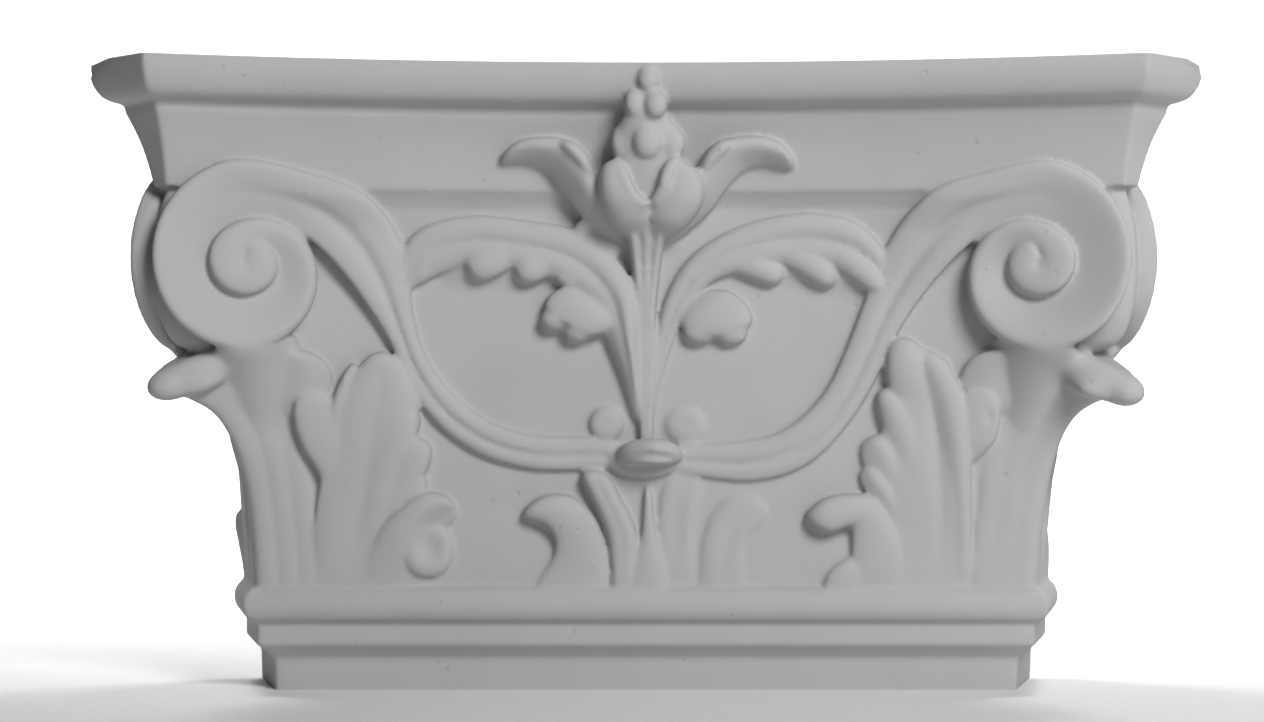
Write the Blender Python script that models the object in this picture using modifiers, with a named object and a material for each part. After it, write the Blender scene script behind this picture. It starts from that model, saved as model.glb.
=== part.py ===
# Pilaster capital: one plaster casting, with volutes and acanthus on its corners and a flower on its abacus.
# Blender 4.5, metres, +Z up, the front towards -Y. The origin is the middle of the flat underside.
#
# A point of the body is given by x, by its forward distance from the wall plane, and by z. The front and
# the sides of a corner are mirror images in the vertical plane of the corner's diagonal, so the corner
# carving is made once on the front and reflected onto the side, where the wall plane cuts it off.
#
# The carving is drawn in millimetres on a sheet, in front view: x from the middle, z from the foot, for a
# capital 420 wide and 240 high. Its points are shares of that drawing and stretch with the sizes below.
from math import cos, pi, radians, sin, tan

import bpy
import numpy as np

# Driving dimensions
ABACUS_WIDTH = 0.420        # over the tips of the two horns
ABACUS_HEIGHT = 0.047
ABACUS_DISH = 0.028         # the middle of the front lies this far behind the horns
HORN_CUT = 0.0260           # the cut-off corner of a horn, measured along the front
OVOLO_PROJECTION = 0.0130   # the ovolo over its own lower edge
FILLET_STEP = 0.0008        # from that edge in to the fillet under it
COVE_PROJECTION = 0.0105    # the cove between the fillet and the bell
BELL_WIDTH = 0.300          # between the front corners, at the foot of the bell
BELL_DEPTH = 0.052          # from the wall to the face of the bell
BELL_HEIGHT = 0.1523
ASTRAGAL_HEIGHT = 0.0143
ASTRAGAL_PROJECTION = 0.0060
FILLET_HEIGHT = 0.0086
FILLET_PROJECTION = 0.0010  # the fillet of the neck over the bell's foot
NECK_HEIGHT = 0.0178
NECK_INSET = 0.0050         # the plain neck inside the bell's foot
SIDE_SPLAY = 0.012          # the sides spread by this much on their way back to the wall
VOLUTE_HEIGHT = 0.072
VOLUTE_THICKNESS = 0.0100
VOLUTE_TURN = radians(22)   # the volute's plane is turned from the front by this much
VOLUTE_SETBACK = 0.0210     # from the horn's front back to that plane

# The casting's mesh
FINENESS = 1                # multiplies the points along and across each carved form
VOXEL = 0.0016
KEPT_FACES = 0.0350         # share of the fine mesh's triangles that the casting keeps
SINK = 0.004                # how deep a carved form reaches below the surface it lies on
PLASTER = (0.62, 0.61, 0.59, 1.0)

# The drawing that the carving's numbers belong to
MM = 0.001
SHEET_WIDTH = 420
SHEET_BELL_WIDTH = 300
SHEET_FOOT = 40.7           # the foot of the bell on the sheet
SHEET_BELL = 152.3          # the height of the bell on the sheet

# Heights
FILLET_Z = NECK_HEIGHT
ASTRAGAL_Z = FILLET_Z + FILLET_HEIGHT
BELL_Z = ASTRAGAL_Z + ASTRAGAL_HEIGHT
ABACUS_Z = BELL_Z + BELL_HEIGHT
TOP_Z = ABACUS_Z + ABACUS_HEIGHT

# Plan
DIAGONAL = BELL_WIDTH / 2 - BELL_DEPTH          # x less the forward distance, all along a corner's diagonal
HORN_FRONT = ABACUS_WIDTH / 2 - DIAGONAL        # forward distance of the horns
HORN_X = ABACUS_WIDTH / 2 - HORN_CUT
ABACUS_FACE = HORN_FRONT - ABACUS_DISH
NECK_DEPTH = BELL_DEPTH - NECK_INSET
WALL_Y = NECK_DEPTH / 2
BEHIND = 0.006                                  # what the cut along the wall plane takes off


def start_clean():
    for thing in list(bpy.data.objects):
        bpy.data.objects.remove(thing)


def plaster():
    material = bpy.data.materials.new("plaster")
    material.use_nodes = True
    shader = material.node_tree.nodes["Principled BSDF"]
    shader.inputs["Base Color"].default_value = PLASTER
    shader.inputs["Roughness"].default_value = 0.85
    shader.inputs["Metallic"].default_value = 0.0
    return material


# The body: a stack of plans, from the foot to the top. A plan is z, the forward distance of the middle of
# the front, the half width over the corner's tips, the cut of the corner, the splay of the side, and how
# late the front turns forward on its way to the corner.


def square_plan(z, half):
    return (z, half - DIAGONAL, half, 0.0006, SIDE_SPLAY, 2)


def neck_plans():
    neck = BELL_WIDTH / 2 - NECK_INSET
    fillet = BELL_WIDTH / 2 + FILLET_PROJECTION
    cove = (fillet - neck) * 0.9
    plans = [square_plan(0.0, neck - 0.0005), square_plan(FILLET_Z - cove, neck)]
    for step in range(1, 5):
        turn = step / 4 * pi / 2
        plans.append(square_plan(FILLET_Z - cove * cos(turn), neck + cove * (1 - sin(pi / 2 - turn))))
    plans += [square_plan(FILLET_Z, fillet), square_plan(ASTRAGAL_Z - 0.0006, fillet)]
    return plans


def astragal_plans():
    radius = ASTRAGAL_HEIGHT / 2
    plans = []
    for step in range(11):
        turn = -pi / 2 + pi * step / 10
        half = BELL_WIDTH / 2 + ASTRAGAL_PROJECTION * cos(turn)
        plans.append(square_plan(ASTRAGAL_Z + radius + radius * sin(turn), half))
    return plans


def bell_plans():
    foot = BELL_WIDTH / 2
    head = ABACUS_WIDTH / 2
    shares = (
        # height, face, half width from the foot's to the head's and cut, all as shares, and the late turn
        (0.00, 0.000, 0.00, 0.03, 4),
        (0.27, 0.000, 0.07, 0.04, 4),
        (0.43, 0.010, 0.21, 0.08, 4),
        (0.51, 0.020, 0.31, 0.15, 4),
        (0.59, 0.030, 0.38, 0.34, 4),
        (0.78, 0.045, 0.36, 0.50, 4),
        (0.90, 0.060, 0.41, 0.45, 3),
        (0.96, 0.066, 0.48, 0.35, 2.3),
        (0.98, 0.096, 0.52, 0.31, 2.1),
        (1.00, 0.140, 0.56, 0.27, 2),
    )
    return [
        (
            BELL_Z + height * BELL_HEIGHT,
            BELL_DEPTH * (1 + face),
            foot + (head - foot) * half,
            HORN_CUT * cut,
            SIDE_SPLAY * (1 - height),
            late,
        )
        for height, face, half, cut, late in shares
    ]


COVE_TOP = ABACUS_Z + ABACUS_HEIGHT * 0.59
OVOLO_FOOT = ABACUS_Z + ABACUS_HEIGHT * 0.66
OVOLO_HEAD = TOP_Z - 0.0012     # a small round edge is left above it


def abacus_plan(z, inset):
    half = ABACUS_WIDTH / 2 - inset
    return (z, ABACUS_FACE - inset, half, HORN_CUT - 0.82 * inset, 0.0, 2)


def abacus_plans():
    """The cove, the fillet and the ovolo, from the abacus' foot up."""
    fillet_inset = OVOLO_PROJECTION + FILLET_STEP
    plans = []
    for step in range(9):
        rise = sin(pi / 2 * step / 8)
        inset = fillet_inset + COVE_PROJECTION * (1 - 0.6 * rise - 0.4 * rise**2.5)
        plans.append(abacus_plan(ABACUS_Z + (COVE_TOP - ABACUS_Z) * rise, inset))
    plans.append(abacus_plan(OVOLO_FOOT - 0.0008, fillet_inset - 0.0004))
    for step in range(11):
        drop = cos(pi / 2 * step / 10)
        inset = OVOLO_PROJECTION * (0.55 * drop**2 + 0.45 * drop**14)
        plans.append(abacus_plan(OVOLO_HEAD - (OVOLO_HEAD - OVOLO_FOOT) * drop, inset))
    plans.append(abacus_plan(TOP_Z, 0.0010))
    return plans


BELL = np.array(bell_plans())
ABACUS = np.array(abacus_plans())


def plan_front(face, half, cut, late, x):
    """Forward distance of a plan's front at x."""
    return face + (half - DIAGONAL - face) * np.clip(x / (half - cut), 0, 1) ** late


def front_between(plans, x, z):
    """Forward distance at x and z of the surface that a stack of plans makes, in metres."""
    face, half, cut, late = (np.interp(z, plans[:, 0], plans[:, column]) for column in (1, 2, 3, 5))
    return plan_front(face, half, cut, late, x) - np.maximum(x - half + cut, 0)


def bell_front(x, z):
    return front_between(BELL, x, z)


def volute_front(x, z):
    """Forward distance of the volute's plane, which lies just inside the horn."""
    return HORN_FRONT - VOLUTE_SETBACK - (HORN_X - x) * tan(VOLUTE_TURN)


def over(one, other):
    """The farther forward of two surfaces, with a soft valley where they meet."""
    return (one + other) / 2 + np.sqrt(((one - other) / 2) ** 2 + 0.0012**2)


def scroll_front(x, z):
    """The surface under the scroll: the bell, passing smoothly to the abacus' cove, or the volute's plane."""
    bell = bell_front(x, z)
    cove = front_between(ABACUS, x, np.maximum(z, ABACUS_Z)) - 0.0015
    climb = np.clip((z - ABACUS_Z + 0.016) / 0.022, 0, 1)
    return over(bell + (cove - bell) * climb**2 * (3 - 2 * climb), volute_front(x, z))


def abacus_front(x, z):
    """The plane of the middle of the abacus, in front of which the flower stands."""
    return ABACUS_FACE + 0 * x


def wall_front(x, z):
    return 0 * x


def plan_outline(plan, share):
    """x and forward distance at a share of the half outline, from mid front round to mid back."""
    z, face, half, cut, splay, late = plan
    corner, tip = half - cut, half - DIAGONAL - cut
    if share <= 0.45:
        x = corner * share / 0.45
        return x, plan_front(face, half, cut, late, x)
    if share <= 0.5:
        along = (share - 0.45) / 0.05
        return corner + cut * along, half - DIAGONAL - cut * along
    if share <= 0.75:
        forward = tip * (0.75 - share) / 0.25
        side = plan_front(face, half, cut, late, forward + DIAGONAL) + DIAGONAL
        return side + splay * (1 - forward / tip), forward
    side = plan_front(face, half, cut, late, DIAGONAL) + DIAGONAL + splay
    return side * (1 - (share - 0.75) / 0.25), 0.0


def new_ball(name, segments, rings):
    """A sphere of radius 1, and its points' share of the way up and angle around."""
    bpy.ops.mesh.primitive_uv_sphere_add(segments=segments, ring_count=rings, radius=1.0)
    ball = bpy.context.object
    ball.name = name
    points = np.empty(len(ball.data.vertices) * 3)
    ball.data.vertices.foreach_get("co", points)
    points = points.reshape(-1, 3)
    up = np.arccos(np.clip(-points[:, 2], -1, 1)) / pi
    return ball, up, np.arctan2(points[:, 1], points[:, 0])


def set_points(thing, x, forward, z):
    points = np.stack([x, WALL_Y - forward, z], axis=1)
    thing.data.vertices.foreach_set("co", points.ravel())
    thing.data.update()
    return thing


def body():
    plans = neck_plans() + astragal_plans() + bell_plans()[1:] + abacus_plans()
    rings = len(plans) + 1
    ball, up, around = new_ball("body", 160 * FINENESS, rings)
    level = np.rint(up * rings).astype(int)
    share = np.abs(np.arctan2(np.sin(around), np.cos(around))) / pi
    x, forward, z = np.zeros(len(up)), np.zeros(len(up)), np.zeros(len(up))
    for index in range(len(up)):
        if level[index] in (0, rings):
            forward[index] = NECK_DEPTH / 2
            z[index] = 0.0 if level[index] == 0 else TOP_Z
            continue
        plan = plans[level[index] - 1]
        x[index], forward[index] = plan_outline(plan, share[index])
        z[index] = plan[0]
    x *= np.where(around < 0, -1, 1)
    forward = np.where(forward <= 1e-9, -BEHIND, forward)
    z = np.where(z <= 1e-9, -BEHIND, np.where(z >= TOP_Z - 1e-9, TOP_Z + BEHIND, z))
    return set_points(ball, x, forward, z)


# Carved forms: balls drawn out along a line or between two edges on the sheet, and laid on a surface.


def through(rows, share):
    """A smooth curve through the rows, read at shares of its length."""
    rows = np.array(rows, float)
    last = len(rows) - 1
    place = np.clip(share, 0, 1) * last
    index = np.minimum(place.astype(int), last - 1)
    u = (place - index)[:, None]
    before, start = rows[np.maximum(index - 1, 0)], rows[index]
    end, after = rows[index + 1], rows[np.minimum(index + 2, last)]
    bend = 2 * before - 5 * start + 4 * end - after
    twist = 3 * start - before - 3 * end + after
    return 0.5 * (2 * start + (end - before) * u + bend * u**2 + twist * u**3)


def on_capital(x, z):
    """From the sheet to the capital, in metres."""
    height = (z - SHEET_FOOT) / SHEET_BELL
    at_foot, at_head = BELL_WIDTH / SHEET_BELL_WIDTH, ABACUS_WIDTH / SHEET_WIDTH
    return x * (at_foot + (at_head - at_foot) * np.clip(height, 0, 1)), BELL_Z + height * BELL_HEIGHT


def round_ends(share, base, tip):
    start = np.clip(share / base, 0, 1)
    end = np.clip((1 - share) / tip, 0, 1)
    return np.sqrt((1 - (1 - start) ** 2) * (1 - (1 - end) ** 2))


# Sections: the height across a form, from one edge at -1 to the other at 1, as a share of its full height.


def domed(across, share):
    return 1.0 + 0 * across


def flutes(count, depth, fade=2.0):
    """Rounded ribs with a crease between them, which die out past the share fade."""
    def section(across, share):
        rib = np.abs(np.sin(pi * count * (across + 1) / 2)) ** 0.7
        return 1 - depth * (1 - rib) * np.clip((fade - share) / 0.15, 0, 1)
    return section


def cupped(depth, place=0.0, width=0.45, length=0.2):
    """A dome with a hollow pressed into it."""
    def section(across, share):
        return 1 - depth * np.exp(-(((across - place) / width) ** 2) - ((share - 0.55) / length) ** 2)
    return section


def one_sided(low, side=1):
    """High along one edge, falling to the share low at the other."""
    def section(across, share):
        slope = np.clip((across * side + 1) / 1.5, 0, 1)
        return low + (1 - low) * slope * slope * (3 - 2 * slope)
    return section


def lay(ball, up, around, x, z, ground, lift, height, section, ends, rim, under, inward):
    """Lays a drawn form on a surface: its front stands proud by its height, its back sinks in."""
    across, out = np.cos(around), np.sin(around)
    x, z = on_capital(x, z)
    front = ground(np.abs(x), z)
    round_over = np.abs(out) ** rim * ends
    proud = (lift + height * section(across, up) * round_over) * MM
    if under is None:
        back = -SINK * np.abs(out) ** 0.5 + 0 * front
    else:
        back = (lift - under * np.abs(out) ** 0.8 * ends) * MM
    x = x - np.where(out < 0, inward * MM * np.abs(out) ** 0.8 * ends, 0)
    return set_points(ball, x, front + np.where(out >= 0, proud, back), z)


def carve(name, rows, ground=None, section=domed, base=0.04, tip=0.12, rim=0.8, under=None, fine=(16, 24)):
    """A form along a line: rows of x, z, lift, half width and height, in millimetres on the sheet."""
    ball, up, around = new_ball(name, fine[0] * FINENESS, fine[1] * FINENESS)
    reach = 1e-3
    x, z, lift, width, height = through(rows, up).T
    ahead, behind = through(rows, up + reach), through(rows, up - reach)
    run, climb = (ahead - behind)[:, 0], (ahead - behind)[:, 1]
    length = np.maximum(np.hypot(run, climb), 1e-9)
    ends = round_ends(up, base, tip)
    side = np.cos(around) * width * ends
    x, z = x - climb / length * side, z + run / length * side
    return lay(ball, up, around, x, z, ground or bell_front, lift, height, section, ends, rim, under, 0.0)


def leaf(name, rows, ground=None, section=domed, base=0.04, tip=0.14, rim=0.5, under=None, inward=0.0,
         fine=(40, 26)):
    """A form between two edges: rows of x, z and lift of one edge, the same of the other, then height."""
    ball, up, around = new_ball(name, fine[0] * FINENESS, fine[1] * FINENESS)
    one_x, one_z, one_lift, two_x, two_z, two_lift, height = through(rows, up).T
    ends = round_ends(up, base, tip)
    place = (1 + np.cos(around) * ends) / 2
    x = one_x + (two_x - one_x) * place
    z = one_z + (two_z - one_z) * place
    lift = one_lift + (two_lift - one_lift) * place
    return lay(ball, up, around, x, z, ground or bell_front, lift, height, section, ends, rim, under, inward)


def flat_leaf(name, rows, **settings):
    """A leaf with one lift for both edges: rows of x, z, x, z, lift and height."""
    return leaf(name, [(a, b, lift, c, d, lift, height) for a, b, c, d, lift, height in rows], **settings)


def pad(name, x, z, half_width, half_height, lift, height, ground=None, lean=0.0, under=None, section=domed,
        rim=0.8):
    """An oval boss at x and z, in millimetres on the sheet."""
    rows = [
        (x + half_height * sin(lean) * step, z + half_height * cos(lean) * step, lift, half_width, height)
        for step in (-1, -0.5, 0, 0.5, 1)
    ]
    return carve(name, rows, ground, section, base=0.5, tip=0.5, rim=rim, under=under, fine=(20, 16))


def finish_side(thing, side):
    """Gives a form made on the right its place on the left, with its faces still outwards."""
    if side < 0:
        for vertex in thing.data.vertices:
            vertex.co.x = -vertex.co.x
        thing.data.flip_normals()
    return thing


def reflect_round_corner(thing):
    """A copy of a form on the front's right half, on the side face round the corner."""
    copy = thing.copy()
    copy.data = thing.data.copy()
    bpy.context.collection.objects.link(copy)
    for vertex in copy.data.vertices:
        x, forward, z = vertex.co.x, WALL_Y - vertex.co.y, vertex.co.z
        half = np.interp(z, BELL[:, 0], BELL[:, 2])
        splay = np.interp(z, BELL[:, 0], BELL[:, 4])
        spread = splay * (1 - (x - DIAGONAL) / (half - DIAGONAL))
        vertex.co.x = forward + DIAGONAL + max(spread, 0)
        vertex.co.y = WALL_Y - (x - DIAGONAL)
    copy.data.flip_normals()
    return copy


# The volute: the scroll's band runs up from the middle of the bell and rolls up under the horn.
# Its outer radius after each quarter turn from the top is a share of the volute's height.
QUARTER_RADII = (0.533, 0.462, 0.463, 0.345, 0.222, 0.186, 0.176, 0.155, 0.12, 0.08, 0.04, 0.0, 0.0)
LEFT_VOLUTE = (150.8, 165.2)
RIGHT_VOLUTE = (148.0, 164.8)
BAND_QUARTERS = 8
SCROLL_HEIGHT = 7.0             # of the rolled band over the volute's plane, on the sheet


def radius_at(quarters):
    return float(through([[radius] for radius in QUARTER_RADII], np.array([quarters / 12]))[0, 0])


def volute_rows(centre):
    """The band's inner edge and outer edge, then its lift and height."""
    rows = []
    height = VOLUTE_HEIGHT / MM
    for step in range(BAND_QUARTERS * 4 + 1):
        quarters = step / 4
        outer, inner = radius_at(quarters) * height, radius_at(quarters + 4) * height
        inner *= np.clip((4.6 - quarters) / 1.2, 0, 1)
        turn = pi / 2 - quarters * pi / 2
        across, along = cos(turn), sin(turn)
        x, z = centre
        edges = (x + inner * across, z + inner * along, x + outer * across, z + outer * along)
        rows.append((*edges, 0.0, SCROLL_HEIGHT))
    return rows


def scroll(stalk, centre):
    rows = stalk + volute_rows(centre)

    def section(across, share):
        quarter = (share * (len(rows) - 1) - len(stalk)) / 4
        ribbon = 1 - 0.34 * np.exp(-(((across + 0.1) / 0.2) ** 2)) - 0.12 * np.clip(-across, 0, 1)
        fall = 0.1 + 0.88 * np.clip((quarter - 2.7) / 1.3, 0, 1)
        coil = fall + (1 - fall) * np.clip((across + 1) / 1.8, 0, 1) ** 1.25
        mix = np.clip((quarter + 1.0) / 1.5, 0, 1)
        mix = mix * mix * (3 - 2 * mix)
        return (1 - mix) * ribbon + mix * coil

    return flat_leaf("scroll", rows, ground=scroll_front, section=section, base=0.01, tip=0.03, rim=0.35,
                     under=VOLUTE_THICKNESS / MM - SCROLL_HEIGHT, fine=(32, 200))


def volute(stalk, centre):
    """The scroll and the round back of its coil."""
    x, z = centre
    return [
        scroll(stalk, centre),
        pad("volute back", x + 1.5, z - 1.0, 25.0, 31.0, -2.0, 2.0, volute_front, under=22.0),
    ]


def left_volute():
    return volute([
        (10.0, 86.5, 10.0, 97.0, 0, 3.0),
        (22.0, 86.0, 22.0, 98.5, 0, 3.6),
        (36.0, 85.5, 36.0, 98.5, 0, 4.2),
        (50.0, 87.2, 48.0, 100.0, 0, 4.6),
        (65.0, 92.2, 59.5, 104.0, 0, 4.8),
        (78.0, 101.0, 69.8, 110.8, 0, 4.8),
        (87.5, 112.0, 78.6, 119.8, 0, 4.8),
        (94.0, 124.5, 85.6, 131.0, 0, 5.0),
        (99.5, 136.5, 89.6, 144.5, 0, 5.2),
        (106.0, 147.5, 91.4, 158.5, 0, 5.6),
        (114.0, 159.0, 93.5, 171.0, 0, 6.0),
        (122.5, 169.0, 99.0, 182.5, 0, 6.4),
        (131.5, 176.5, 110.0, 193.0, 0, 6.8),
        (141.0, 180.8, 127.5, 199.0, 0, 7.0),
    ], LEFT_VOLUTE)


def right_volute():
    return volute([
        (10.0, 85.0, 10.0, 96.5, 0, 3.0),
        (23.0, 83.0, 23.0, 96.0, 0, 3.6),
        (38.0, 81.5, 37.0, 97.0, 0, 4.2),
        (52.0, 83.5, 50.0, 99.8, 0, 4.6),
        (65.0, 89.8, 61.0, 107.0, 0, 4.8),
        (76.0, 101.0, 69.6, 117.0, 0, 4.8),
        (85.0, 114.0, 75.2, 128.0, 0, 4.8),
        (91.0, 126.0, 80.0, 140.0, 0, 5.0),
        (96.0, 137.0, 84.4, 152.0, 0, 5.2),
        (103.0, 148.5, 88.5, 163.5, 0, 5.6),
        (111.0, 159.0, 93.5, 174.0, 0, 6.0),
        (119.5, 168.5, 100.5, 184.5, 0, 6.4),
        (129.0, 176.5, 111.5, 194.0, 0, 6.8),
        (138.5, 180.6, 125.5, 198.6, 0, 7.0),
    ], RIGHT_VOLUTE)


def corner_drum():
    """The round core on the diagonal, between the front's volute and the side's."""
    ball, up, around = new_ball("corner drum", 32 * FINENESS, 24 * FINENESS)
    level, girth = -np.cos(up * pi), np.sin(up * pi) ** 0.4
    along, aside = girth * np.cos(around), girth * np.sin(around)
    x, z = on_capital(164.0 + (along * 28.0 + aside * 10.0) / 2**0.5, 165.0 + level * 33.5)
    forward = x - DIAGONAL - aside * 2**0.5 * 10.0 * MM
    return set_points(ball, x, forward, z)


# Leaves. A row of a leaf is its two edges' x and z, its lift and its height; a row of a rib is x, z, lift,
# half width and height.


def corner_leaf(folds):
    """The acanthus round a corner of the bell, turned outwards at its top. Its lifts are from the wall."""
    return leaf("corner leaf", [
        (150.2, 36.0, 52.2, 125.5, 36.0, 52.0, 1.8), (151.2, 58.0, 53.2, 127.5, 58.0, 52.5, 2.0),
        (153.4, 78.0, 55.4, 129.5, 78.0, 53.5, 2.2), (156.6, 92.0, 58.6, 130.5, 92.0, 54.5, 2.2),
        (160.6, 102.0, 62.6, 131.5, 102.0, 55.0, 2.0), (166.0, 108.5, 68.0, 132.5, 110.0, 55.5, 1.6),
        (173.0, 112.6, 75.0, 134.0, 117.0, 56.5, 1.2), (179.0, 115.5, 80.0, 136.0, 123.0, 59.0, 1.0),
        (182.0, 119.0, 83.0, 138.0, 128.0, 62.0, 0.8), (181.0, 123.0, 82.0, 140.0, 132.0, 62.0, 0.8),
        (176.0, 127.5, 77.0, 141.0, 135.0, 60.0, 0.6), (168.0, 130.5, 69.0, 142.0, 137.0, 57.0, 0.6)],
        ground=wall_front, section=flutes(3, folds, 0.62),
        base=0.02, tip=0.04, rim=0.3, under=12.0, inward=11.0,
        fine=(56, 70))


def corner_lip(droop):
    """The overturned edge of the corner leaf, from its drooping tip on the diagonal in under the volute."""
    return carve("corner lip", [
        (185.0, 118.8 - droop, 84.0, 4.2, 4.0), (180.0, 119.8 - droop, 82.0, 5.6, 5.6),
        (172.0, 122.6 - 0.7 * droop, 78.5, 6.4, 7.4), (163.0, 127.0 - 0.3 * droop, 73.0, 5.8, 7.6),
        (154.0, 131.0, 67.5, 5.0, 7.0), (146.0, 132.6, 62.5, 4.4, 6.0),
        (139.0, 131.0, 58.0, 3.2, 4.4)], wall_front, base=0.1, tip=0.25, rim=0.75, under=18.0, fine=(28, 40))


def corner_tip(droop):
    """The overturned tip of the corner leaf, on the diagonal under the volutes."""
    ball, up, around = new_ball("corner tip", 24 * FINENESS, 16 * FINENESS)
    level, girth = -np.cos(up * pi), np.sin(up * pi)
    along, aside = girth * np.cos(around), girth * np.sin(around)
    middle = 119.0 - droop
    x, z = on_capital(179.3 + (along * 9.6 + aside * 7.6) / 2**0.5, middle + level * 6.4 - along * 1.2)
    forward = x - DIAGONAL - aside * 2**0.5 * 7.6 * MM
    return set_points(ball, x, forward, z)


def corner_shoulder():
    """The corner leaf's side lobe and its neck, under the volute."""
    return [
        flat_leaf("corner shoulder", [
            (146.0, 104.0, 124.0, 109.0, -0.6, 2.4), (148.0, 110.0, 121.8, 113.0, 0.0, 3.6),
            (149.0, 116.5, 120.6, 118.0, 0.6, 4.4), (150.0, 123.5, 121.4, 124.0, 1.2, 5.0),
            (150.0, 129.5, 125.0, 129.0, 1.8, 5.4), (150.0, 135.0, 131.0, 133.0, 2.4, 5.0)],
            section=one_sided(0.3), base=0.35, tip=0.2, rim=0.6, fine=(40, 40)),
        carve("corner neck", [
            (147.0, 90.0, -4.0, 8.0, 3.0), (147.0, 99.0, -3.2, 9.0, 3.8), (147.0, 108.0, -2.4, 10.5, 5.0),
            (147.5, 116.5, -1.2, 12.5, 6.8), (148.0, 124.5, 0.4, 14.5, 9.0), (149.0, 131.0, 2.2, 16.0, 11.2),
            (150.0, 136.5, 4.0, 17.0, 12.5)], base=0.2, tip=0.12, rim=1.7, under=14.0, fine=(32, 40)),
    ]


def left_side_lobe():
    return flat_leaf("side lobe", [
        (127.5, 38.0, 117.0, 38.0, 0.2, 1.4), (128.4, 60.0, 117.0, 60.0, 0.3, 2.0),
        (127.2, 74.0, 117.0, 74.0, 0.6, 3.0), (126.2, 84.0, 115.0, 86.0, 1.0, 4.4),
        (131.6, 93.5, 115.5, 97.0, 1.4, 5.2), (134.6, 102.0, 117.0, 106.0, 1.6, 5.4),
        (135.2, 110.0, 120.0, 112.0, 1.6, 5.2), (132.0, 117.5, 124.0, 117.5, 1.6, 4.4)],
        tip=0.12, rim=0.3)


def right_side_lobe():
    return flat_leaf("side lobe", [
        (121.0, 86.0, 129.5, 90.0, 0.5, 2.2), (120.0, 95.0, 134.0, 97.0, 1.2, 4.0),
        (119.5, 104.0, 136.0, 105.0, 1.6, 4.6), (120.5, 113.0, 135.0, 113.0, 1.6, 4.4),
        (123.0, 121.0, 132.0, 121.0, 1.4, 4.0)],
        section=cupped(0.3, 0.5, 0.2, 0.08), base=0.25, tip=0.25, rim=0.4)


def left_front_leaf():
    return [
        flat_leaf("leaf body", [
            (128.0, 38.0, 99.0, 38.0, 0, 1.8), (128.0, 58.0, 98.0, 58.0, 0, 3.2),
            (126.0, 76.0, 93.5, 74.0, 0.4, 4.6), (123.0, 94.0, 90.5, 90.0, 0.8, 6.0),
            (120.5, 108.0, 88.5, 104.0, 1.2, 6.8), (116.0, 119.0, 88.2, 113.0, 1.6, 6.8),
            (108.0, 128.5, 92.5, 124.0, 1.8, 6.2), (102.5, 132.2, 98.0, 131.0, 1.8, 4.8)],
            section=flutes(2, 0.12, 0.9), base=0.02, tip=0.1, rim=0.4, fine=(56, 50)),
        carve("leaf outer fold", [
            (121.0, 92.0, 1.0, 2.0, 4.0), (120.2, 102.0, 1.8, 2.6, 4.8), (118.2, 112.0, 2.4, 2.8, 5.2),
            (115.0, 121.5, 2.6, 2.0, 4.8), (111.8, 127.0, 2.4, 1.2, 4.0)]),
        carve("leaf finger a", [
            (106.0, 48.0, 0.2, 4.4, 2.0), (105.0, 66.0, 0.6, 6.0, 3.8), (100.5, 87.0, 1.2, 7.0, 5.8),
            (95.5, 100.0, 1.6, 7.0, 6.6), (90.6, 110.0, 1.6, 4.8, 6.0)], tip=0.12, rim=0.5),
        carve("leaf finger b", [
            (102.0, 52.0, 0.2, 4.0, 2.0), (99.5, 66.0, 0.4, 5.4, 3.6), (95.0, 80.0, 0.8, 6.2, 5.0),
            (90.2, 91.0, 1.2, 7.0, 5.8), (87.2, 98.5, 1.2, 5.2, 5.4)], tip=0.16, rim=0.5),
        carve("leaf finger c", [
            (101.0, 58.0, 0.2, 3.0, 2.4), (96.5, 69.0, 0.4, 4.4, 3.4), (91.0, 78.0, 0.8, 5.0, 4.4),
            (87.0, 85.0, 0.8, 3.6, 4.0)], tip=0.2, rim=0.5),
        flat_leaf("leaf curl", [
            (112.0, 38.0, 81.0, 38.0, 0, 1.6), (110.0, 46.0, 78.5, 46.0, 0, 3.0),
            (106.5, 55.0, 76.5, 54.0, 0.2, 5.0),
            (102.0, 64.0, 78.5, 61.0, 0.6, 7.0), (94.5, 71.5, 79.0, 63.5, 1.0, 7.4),
            (86.0, 77.2, 76.4, 65.0, 1.4, 6.8),
            (78.0, 76.2, 74.0, 68.0, 1.4, 5.6), (75.0, 73.4, 73.2, 70.6, 1.2, 4.0)],
            section=one_sided(0.2, -1), base=0.03, tip=0.1, rim=0.35, fine=(48, 44)),
        pad("leaf curl ball", 85.0, 55.0, 10.4, 11.0, 0.4, 6.0,
            section=cupped(0.65, 0.15, 0.6, 0.3), rim=0.8),
        left_side_lobe(),
    ]


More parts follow.
